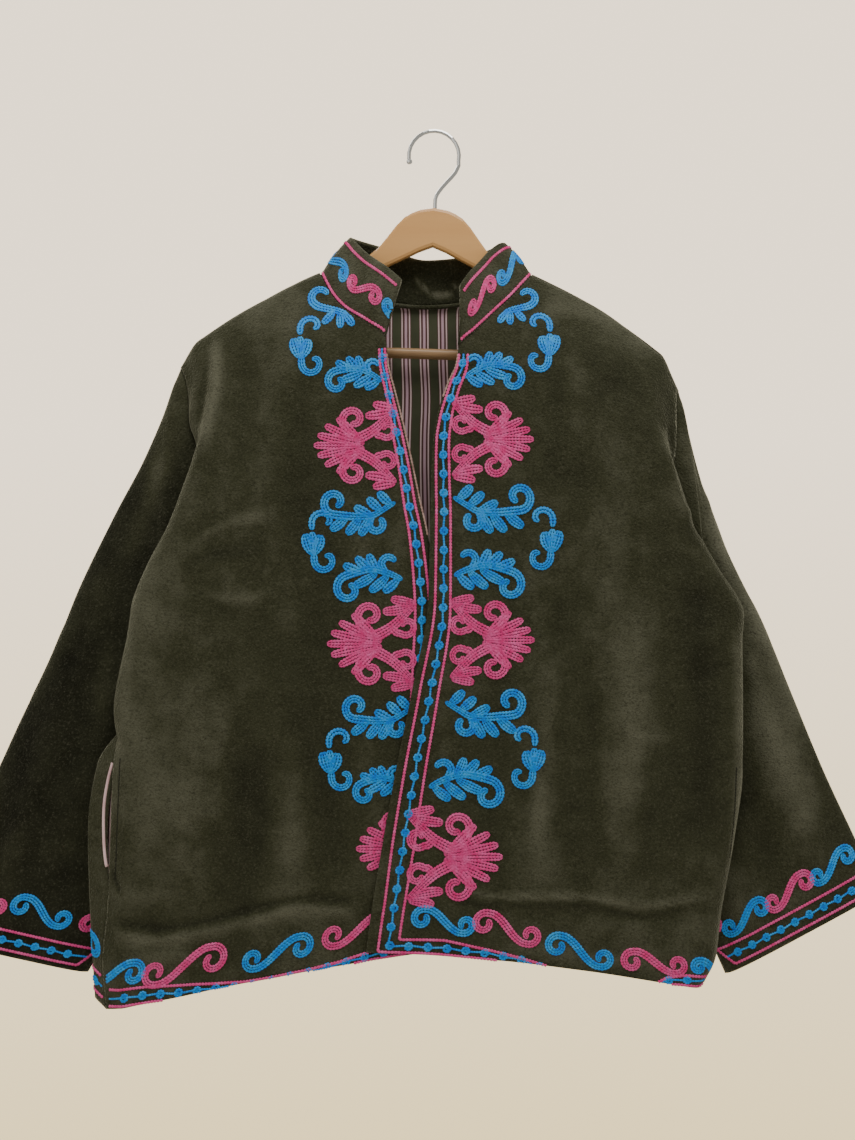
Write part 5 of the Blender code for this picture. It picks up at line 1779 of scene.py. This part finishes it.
def sew_row(bm, ground, path, wide=None, high=STITCH_HIGH, stitch=STITCH):
    """One row of chain stitches along a path, pressed onto the cloth."""
    path = np.asarray(path, float)
    if wide is not None:
        path = np.concatenate([path[:, :2], np.full((len(path), 1), wide)], axis=1)
    marks = steps_along(path, stitch)
    rings = []
    for start, end in zip(marks[:-1], marks[1:]):
        rings += [(start + (end - start) * part, narrow, lift) for part, narrow, lift in RINGS]
    rings.append((marks[-1], *LAST_RING))
    run = []
    for (x, z, width), narrow, lift in rings:
        found = ground.below(x, z)
        if found is None:
            lay_grid(bm, run)
            run = []
            continue
        low = min(1.0, 0.4 + 0.6 * width / ROW)
        run.append((*found, narrow * width * 1.06, lift * high * low))
    lay_grid(bm, run)


# %% Sewing in colours
COLOURS = {"blue": BLUE, "pink": PINK}


def new_sewing():
    """An empty mesh for the stitches of each colour."""
    return {colour: bmesh.new() for colour in COLOURS}


def finish_stitches(name, bm, finish):
    """Make the stitches of one colour an object that rides with the jacket."""
    for face in bm.faces:
        face.smooth = True
    mesh = bpy.data.meshes.new(name)
    bm.to_mesh(mesh)
    bm.free()
    mesh.materials.append(finish)
    obj = new_object(name, mesh)
    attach(obj, "root")
    print(name, "triangles:", 2 * len(mesh.polygons))


def finish_sewing(name, sewing):
    """Finish the stitches of every colour on one piece of cloth."""
    for colour, bm in sewing.items():
        finish_stitches(name + "_" + colour, bm, COLOURS[colour])


def sew_design(bm, ground, strokes):
    """Fill every stroke of a design with rows of chain stitch."""
    for width, line in strokes:
        for row in stroke_rows(width, line):
            sew_row(bm, ground, row)


def sew_dots(bm, ground, path, pitch, size=3.7):
    """A thin wavy chain along a path, with a round knot of chain stitch at every pitch."""
    path = steps_along(np.asarray(path, float), 3.0)
    length = lengths(path)
    wave = np.sin(length * 2 * math.pi / (2 * pitch))
    sew_row(bm, ground, path + sideways(path) * wave[:, None] * 0.6, wide=2.2, high=1.0, stitch=2.6)
    for k in range(int(length[-1] / pitch)):
        at = (k + 0.5) * pitch
        place = np.interp(at, length, path[:, 0]), np.interp(at, length, path[:, 1])
        knot = spiral(place, size, 40 * k, 1.0, 0.10, 11) + spiral(place, size * 0.5, 40 * k, 0.8, 0.7, 6)
        sew_row(bm, ground, knot, wide=2.8, high=1.7, stitch=2.4)


# %% [markdown]
# ### Flowers on the fronts
# Each row gives a design, the place of its inner end, a turn in degrees, a scale, and the colour. The
# two fronts carry the same designs mirrored, but hand work is never the same twice, so each has its own
# row.

# %% Designs on the fronts: design, x, z, turn, scale, colour
LEFT_LAYOUT = [
    (SPRIG, 78, -188, 0, 1, "blue"),
    (BUD, 116, -223, 0, 0.96, "blue"),
    (LEAF_DOWN, 28, -261, 9, 0.76, "blue"),
    (FAN, 16, -322, 0, 0.97, "pink"),
    (LEAF_UP, 17, -394, 0, 0.97, "blue"),
    (BUD, 117, -421, 0, 0.96, "blue"),
    (LEAF_DOWN, 17, -458, 0, 0.90, "blue"),
    (FAN, 14, -522, 0, 1, "pink"),
    (LEAF_UP, 9, -598, 0, 0.97, "blue"),
    (BUD, 99, -639, 0, 0.96, "blue"),
    (LEAF_DOWN, -8, -669, 3, 0.95, "blue"),
    (FAN, -29, -738, 0, 1.13, "pink"),
]
RIGHT_LAYOUT = [
    (SPRIG, -96, -190, 0, 1.15, "blue"),
    (BUD, -134, -227, 0, 0.96, "blue"),
    (LEAF_DOWN, -50, -264, 9, 0.72, "blue"),
    (FAN, -36, -328, 0, 0.98, "pink"),
    (LEAF_UP, -37, -398, 0, 0.90, "blue"),
    (BUD, -121, -424, 0, 0.96, "blue"),
    (LEAF_DOWN, -29, -462, 0, 0.88, "blue"),
    (FAN, -16, -526, 0, 1.06, "pink"),
    (LEAF_UP, -18, -602, 0, 0.87, "blue"),
    (BUD, -104, -642, 0, 0.96, "blue"),
    (LEAF_DOWN, -26, -668, 0, 0.68, "blue"),
    (FAN, 6, -731, 0, 0.98, "pink"),
]


def sew_flowers(sewing, side, layout, obj):
    """Sew one front's flowers, mirrored where the front is the right one."""
    ground = Ground(obj, -1)
    for design, x, z, turn, scale, colour in layout:
        strokes = mirrored(design, across=side < 0)
        strokes = rotated(strokes, turn * side, (x, z), scale, 0.5 + 0.5 * scale)
        sew_design(sewing[colour], ground, strokes)


print("designs on the fronts:", len(LEFT_LAYOUT) + len(RIGHT_LAYOUT))

# %% [markdown]
# ### Borders and scrolls at the edges
# A border is two pink chains with a chain of blue knots between them. It runs down beside each front
# opening, turns at the hem and goes round the body. Where the hem rolls under, the lines drop out of
# sight, so the tables give their height above the visible edge, and a negative height is left out.

# %% Borders beside the openings: up, then along for the near pink, the blue and the far pink
PLACKET_LEFT = [
    (606, 1.4, 6, 10.5),
    (560, 3.4, 8, 13.2),
    (521, 3.4, 10.3, 16),
    (491, 5, 12.8, 19),
    (451, 6.5, 14.5, 21.5),
    (353, 7.3, 16, 23.3),
    (273, 7.6, 18, 26),
    (111, 9.8, 20.6, 31.5),
    (51, 12, 22, 31.7),
    (11, 11.6, 21.5, 31.3),
]
PLACKET_RIGHT = [
    (612, 2, 5, 8),
    (560, 4.4, 7.6, 10),
    (521, 4.2, 9.4, 13.4),
    (491, 4.6, 10.2, 14.6),
    (451, 6, 12, 17),
    (380, 7.3, 14.5, 21),
    (273, 7.6, 18, 26),
    (111, 9.8, 20.6, 31.5),
    (11, 11.6, 21.5, 31.3),
]
print("rows beside the openings:", len(PLACKET_LEFT), len(PLACKET_RIGHT))

# %% Borders at the hem: along, then up for the lower pink, the blue and the upper pink
HEM_LEFT = [
    (11.6, 1.5, 8, 13.5),
    (77, 1.5, 8, 16),
    (122, 0.6, 6.5, 10),
    (154, -1.5, 3, 4.8),
    (172, -4, -1, 1.5),
    (190, -6, -4, -1.5),
    (292, -6, -4, -1.5),
    (302, -0.5, 3.5, 6.5),
    (321, 1.5, 7.5, 12.5),
    (346, 2, 8.5, 14.5),
]
HEM_RIGHT = [
    (11.6, 1.5, 8, 13.5),
    (50, 1, 5, 9),
    (80, -1, 2, 4),
    (112, -4, -1, 1.6),
    (150, -5, -2, 1.2),
    (176, -5, -2, 1.4),
    (206, -3, 1.2, 5.5),
    (228, -2, 3, 9.5),
    (249, -0.5, 5, 12.5),
    (277, 1, 8.5, 16.5),
    (318, 3, 11, 20),
]
print("rows at the hem:", len(HEM_LEFT), len(HEM_RIGHT))

# %% Scrolls at the hem: along, up, turn, scale, colour
SCROLLS_LEFT = [
    (74, 35, -4, 0.78, "blue"),
    (138, 33, -9, 0.86, "pink"),
    (213, 19, -8, 0.86, "blue"),
    (289, 20, 6, 0.82, "pink"),
    (348, 25, 4, 0.52, "blue"),
]
SCROLLS_RIGHT = [
    (62, 33, -4, 0.95, "pink"),
    (145, 24, -4, 0.88, "blue"),
    (241, 29, -1, 1.07, "pink"),
    (316, 34, 4, 0.85, "blue"),
]
print("scrolls at the hem:", len(SCROLLS_LEFT) + len(SCROLLS_RIGHT))

# %% Sewing along an edge
KNOT_PITCH = 19.0
BORDER_WIDE = 3.0
SCROLL_SWELL = 0.95


def border_lines(placket, hem):
    """The three lines of a border, as lists of (along, up), down the opening and along the hem."""
    lines = []
    for k in (1, 2, 3):
        down = [(row[k], row[0]) for row in placket]
        round_hem = [(row[0], row[k]) for row in hem if row[0] > down[-1][0] + 4]
        corner = (down[-1][0], np.interp(down[-1][0], [row[0] for row in hem], [row[k] for row in hem]))
        lines.append(down[:-1] + [corner] + round_hem)
    return lines


def sew_border(sewing, ground, lines, pitch=KNOT_PITCH):
    """Two pink chains with the blue knots between them."""
    low, middle, high = lines
    sew_row(sewing["pink"], ground, low, wide=BORDER_WIDE)
    sew_row(sewing["pink"], ground, high, wide=BORDER_WIDE)
    sew_dots(sewing["blue"], ground, middle, pitch)


def sew_scrolls(sewing, ground, table, swell=SCROLL_SWELL):
    """Scrolls along an edge, one for each row of a table."""
    for along, up, turn, scale, colour in table:
        sew_design(sewing[colour], ground, rotated(SCROLL, turn, (along, up), scale, swell))


def by_turns(k):
    """Blue and pink in turn."""
    return "pink" if k % 2 else "blue"


# %% Sew the fronts
EDGE_GROUNDS = {}
for name, side, layout, placket, hem, scrolls in (
    ("front_left", 1, LEFT_LAYOUT, PLACKET_LEFT, HEM_LEFT, SCROLLS_LEFT),
    ("front_right", -1, RIGHT_LAYOUT, PLACKET_RIGHT, HEM_RIGHT, SCROLLS_RIGHT),
):
    net, obj = FRONTS[name]
    sewing = new_sewing()
    sew_flowers(sewing, side, layout, obj)
    ground = NetGround(net, outward(net, side))
    EDGE_GROUNDS[name] = ground
    sew_border(sewing, ground, border_lines(placket, hem))
    sew_scrolls(sewing, ground, scrolls)
    finish_sewing(name, sewing)

# %% [markdown]
# ### The back, the cuffs and the collar
# The border goes on round the back and the cuffs, and its scrolls take turns in blue and pink. The back
# is hidden in the photo, so its scrolls are spaced evenly, with a little sway in height and turn, as hand
# work has. The scrolls of the cuffs have a table of places, and the lines of a cuff's border stop short of
# the inner fold of the sleeve, where a pink chain at each side closes them.

# %% Sew the back's hem
BACK_SCROLLS = 8
BACK_BORDER_UPS = (9.0, 20.0, 31.0)
sewing = new_sewing()
ground = NetGround(BACK_NET, outward(BACK_NET, -1))
first, last = 4.0, ground.length - 4.0
sew_border(sewing, ground, [[(first, up), (last / 2, up + 0.8), (last, up)] for up in BACK_BORDER_UPS])
table = []
for k in range(BACK_SCROLLS):
    along = (k + 0.5) * (ground.length / BACK_SCROLLS)
    table.append((along, 54 + 2 * math.sin(2.1 * k), 3 * math.sin(1.7 * k), 0.86, by_turns(k)))
sew_scrolls(sewing, ground, table)
finish_sewing("back", sewing)

# %% Sew the cuffs
CUFF_PITCH = 18.2
CUFF_TURN = -4

# Along, up and scale of each scroll
CUFF_SCROLLS = {
    "sleeve_left": [
        (44, 49, 0.72),
        (101, 47, 0.76),
        (158, 45, 0.72),
        (214, 50, 0.68),
        (271, 51, 0.66),
        (328, 49, 0.68),
    ],
    "sleeve_right": [
        (0, 52, 0.66),
        (55, 52, 0.70),
        (121, 54, 0.84),
        (193, 51, 0.70),
        (249, 50, 0.68),
        (305, 51, 0.66),
    ],
}

# How far each line of the border stays from the inner fold, and its height above the edge
CUFF_ENDS = [(17.0, 6.5), (11.0, 16.5), (4.0, 27.0)]
for name, places in CUFF_SCROLLS.items():
    net = SLEEVES[name][0]
    tube = net[:, :-1]
    normal = facing_away(normals(tube, closed=True), tube, net.mean(axis=1, keepdims=True))
    normal = np.concatenate([normal, normal[:, :1]], axis=1)
    ground = NetGround(net, normal, ring=True, even_ends=True)
    sewing = new_sewing()
    inner = ground.length / 2
    lines = [[(inner + gap, up), (inner + ground.length - gap, up)] for gap, up in CUFF_ENDS]
    sew_border(sewing, ground, lines, CUFF_PITCH)
    low, middle, high = CUFF_ENDS
    for side in (1, -1):
        closing = [(inner + side * gap, up) for gap, up in (low, high)]
        sew_row(sewing["pink"], ground, closing, wide=BORDER_WIDE)
    table = []
    for k, (along, up, scale) in enumerate(places):
        table.append((along, up, CUFF_TURN, scale, by_turns(k)))
    sew_scrolls(sewing, ground, table)
    finish_sewing(name, sewing)

# %% Sew the collar
COLLAR_SCALE = 0.58
COLLAR_SWELL = 0.86
sewing = new_sewing()
ground = NetGround(COLLAR_NET[OUTSIDE][::-1], COLLAR_NORMAL[::-1], even_ends=True)
height = ground.up[-1]
print("collar: length", round(ground.length), "height", [round(float(v)) for v in height[[0, 40, -1]]])
at = np.linspace(2.5, ground.length - 2.5, 80)
sew_row(sewing["pink"], ground, [(a, 3.0) for a in at], wide=BORDER_WIDE)
top = [(a, np.interp(a, ground.along[0], height) - 5.0) for a in at]
sew_row(sewing["pink"], ground, top, wide=BORDER_WIDE)
table = []
places = [-10.0, 41.0, *np.linspace(92.0, ground.length - 86.0, 5), ground.length - 35.0]
for k, along in enumerate(places):
    middle = np.interp(max(along, 0.0), ground.along[0], height) / 2 - 1.0
    table.append((along, middle, 4 * math.sin(2.3 * k), COLLAR_SCALE, by_turns(k)))
sew_scrolls(sewing, ground, table, swell=COLLAR_SWELL)
finish_sewing("collar", sewing)

# %% [markdown]
# ### Plain sewing
# A pale thread edges the openings, a near-black one closes the seam behind each pocket mouth, its
# darkness painted shade in the seam, and the right pocket's satin is turned over a thin cord at its edge.
# The cord is smooth, so a curve makes it.

# %% Edging and pocket stitches
MOUTH_EDGE = [(-324, -647), (-329, -664), (-333.5, -690), (-333.5, -722), (-331, -746), (-326.5, -762)]
MOUTH_RADIUS = 1.5
MOUTH_LIFT = 0.6
edging = bmesh.new()
for name, low, high in (("front_right", 420, 606), ("front_left", 560, 606)):
    path = [(0.5, up) for up in np.linspace(low, high, 60)]
    sew_row(edging, EDGE_GROUNDS[name], path, wide=2.0, high=1.3)
finish_stitches("opening_edging", edging, PALE)
seams = bmesh.new()
for name, line in (
    ("front_right", [(-315, -641), (-318, -712), (-320, -764)]),
    ("front_left", [(303, -650), (301, -700), (297, -742)]),
):
    sew_row(seams, Ground(FRONTS[name][1], -1), rounded(line), wide=1.5, high=0.7, stitch=3.0)
finish_stitches("pocket_seam_shade", seams, SEAM_SHADE_THREAD)
ground = Ground(BACK, -1)
found = [ground.below(x, z) for x, z in rounded(MOUTH_EDGE)]
lifted = [place + normal * MOUTH_LIFT for place, normal in found]
round_curve("pocket_mouth_edge", lifted, MOUTH_RADIUS, SATIN_FINISH, None)
print("pocket mouth edge points:", len(lifted))
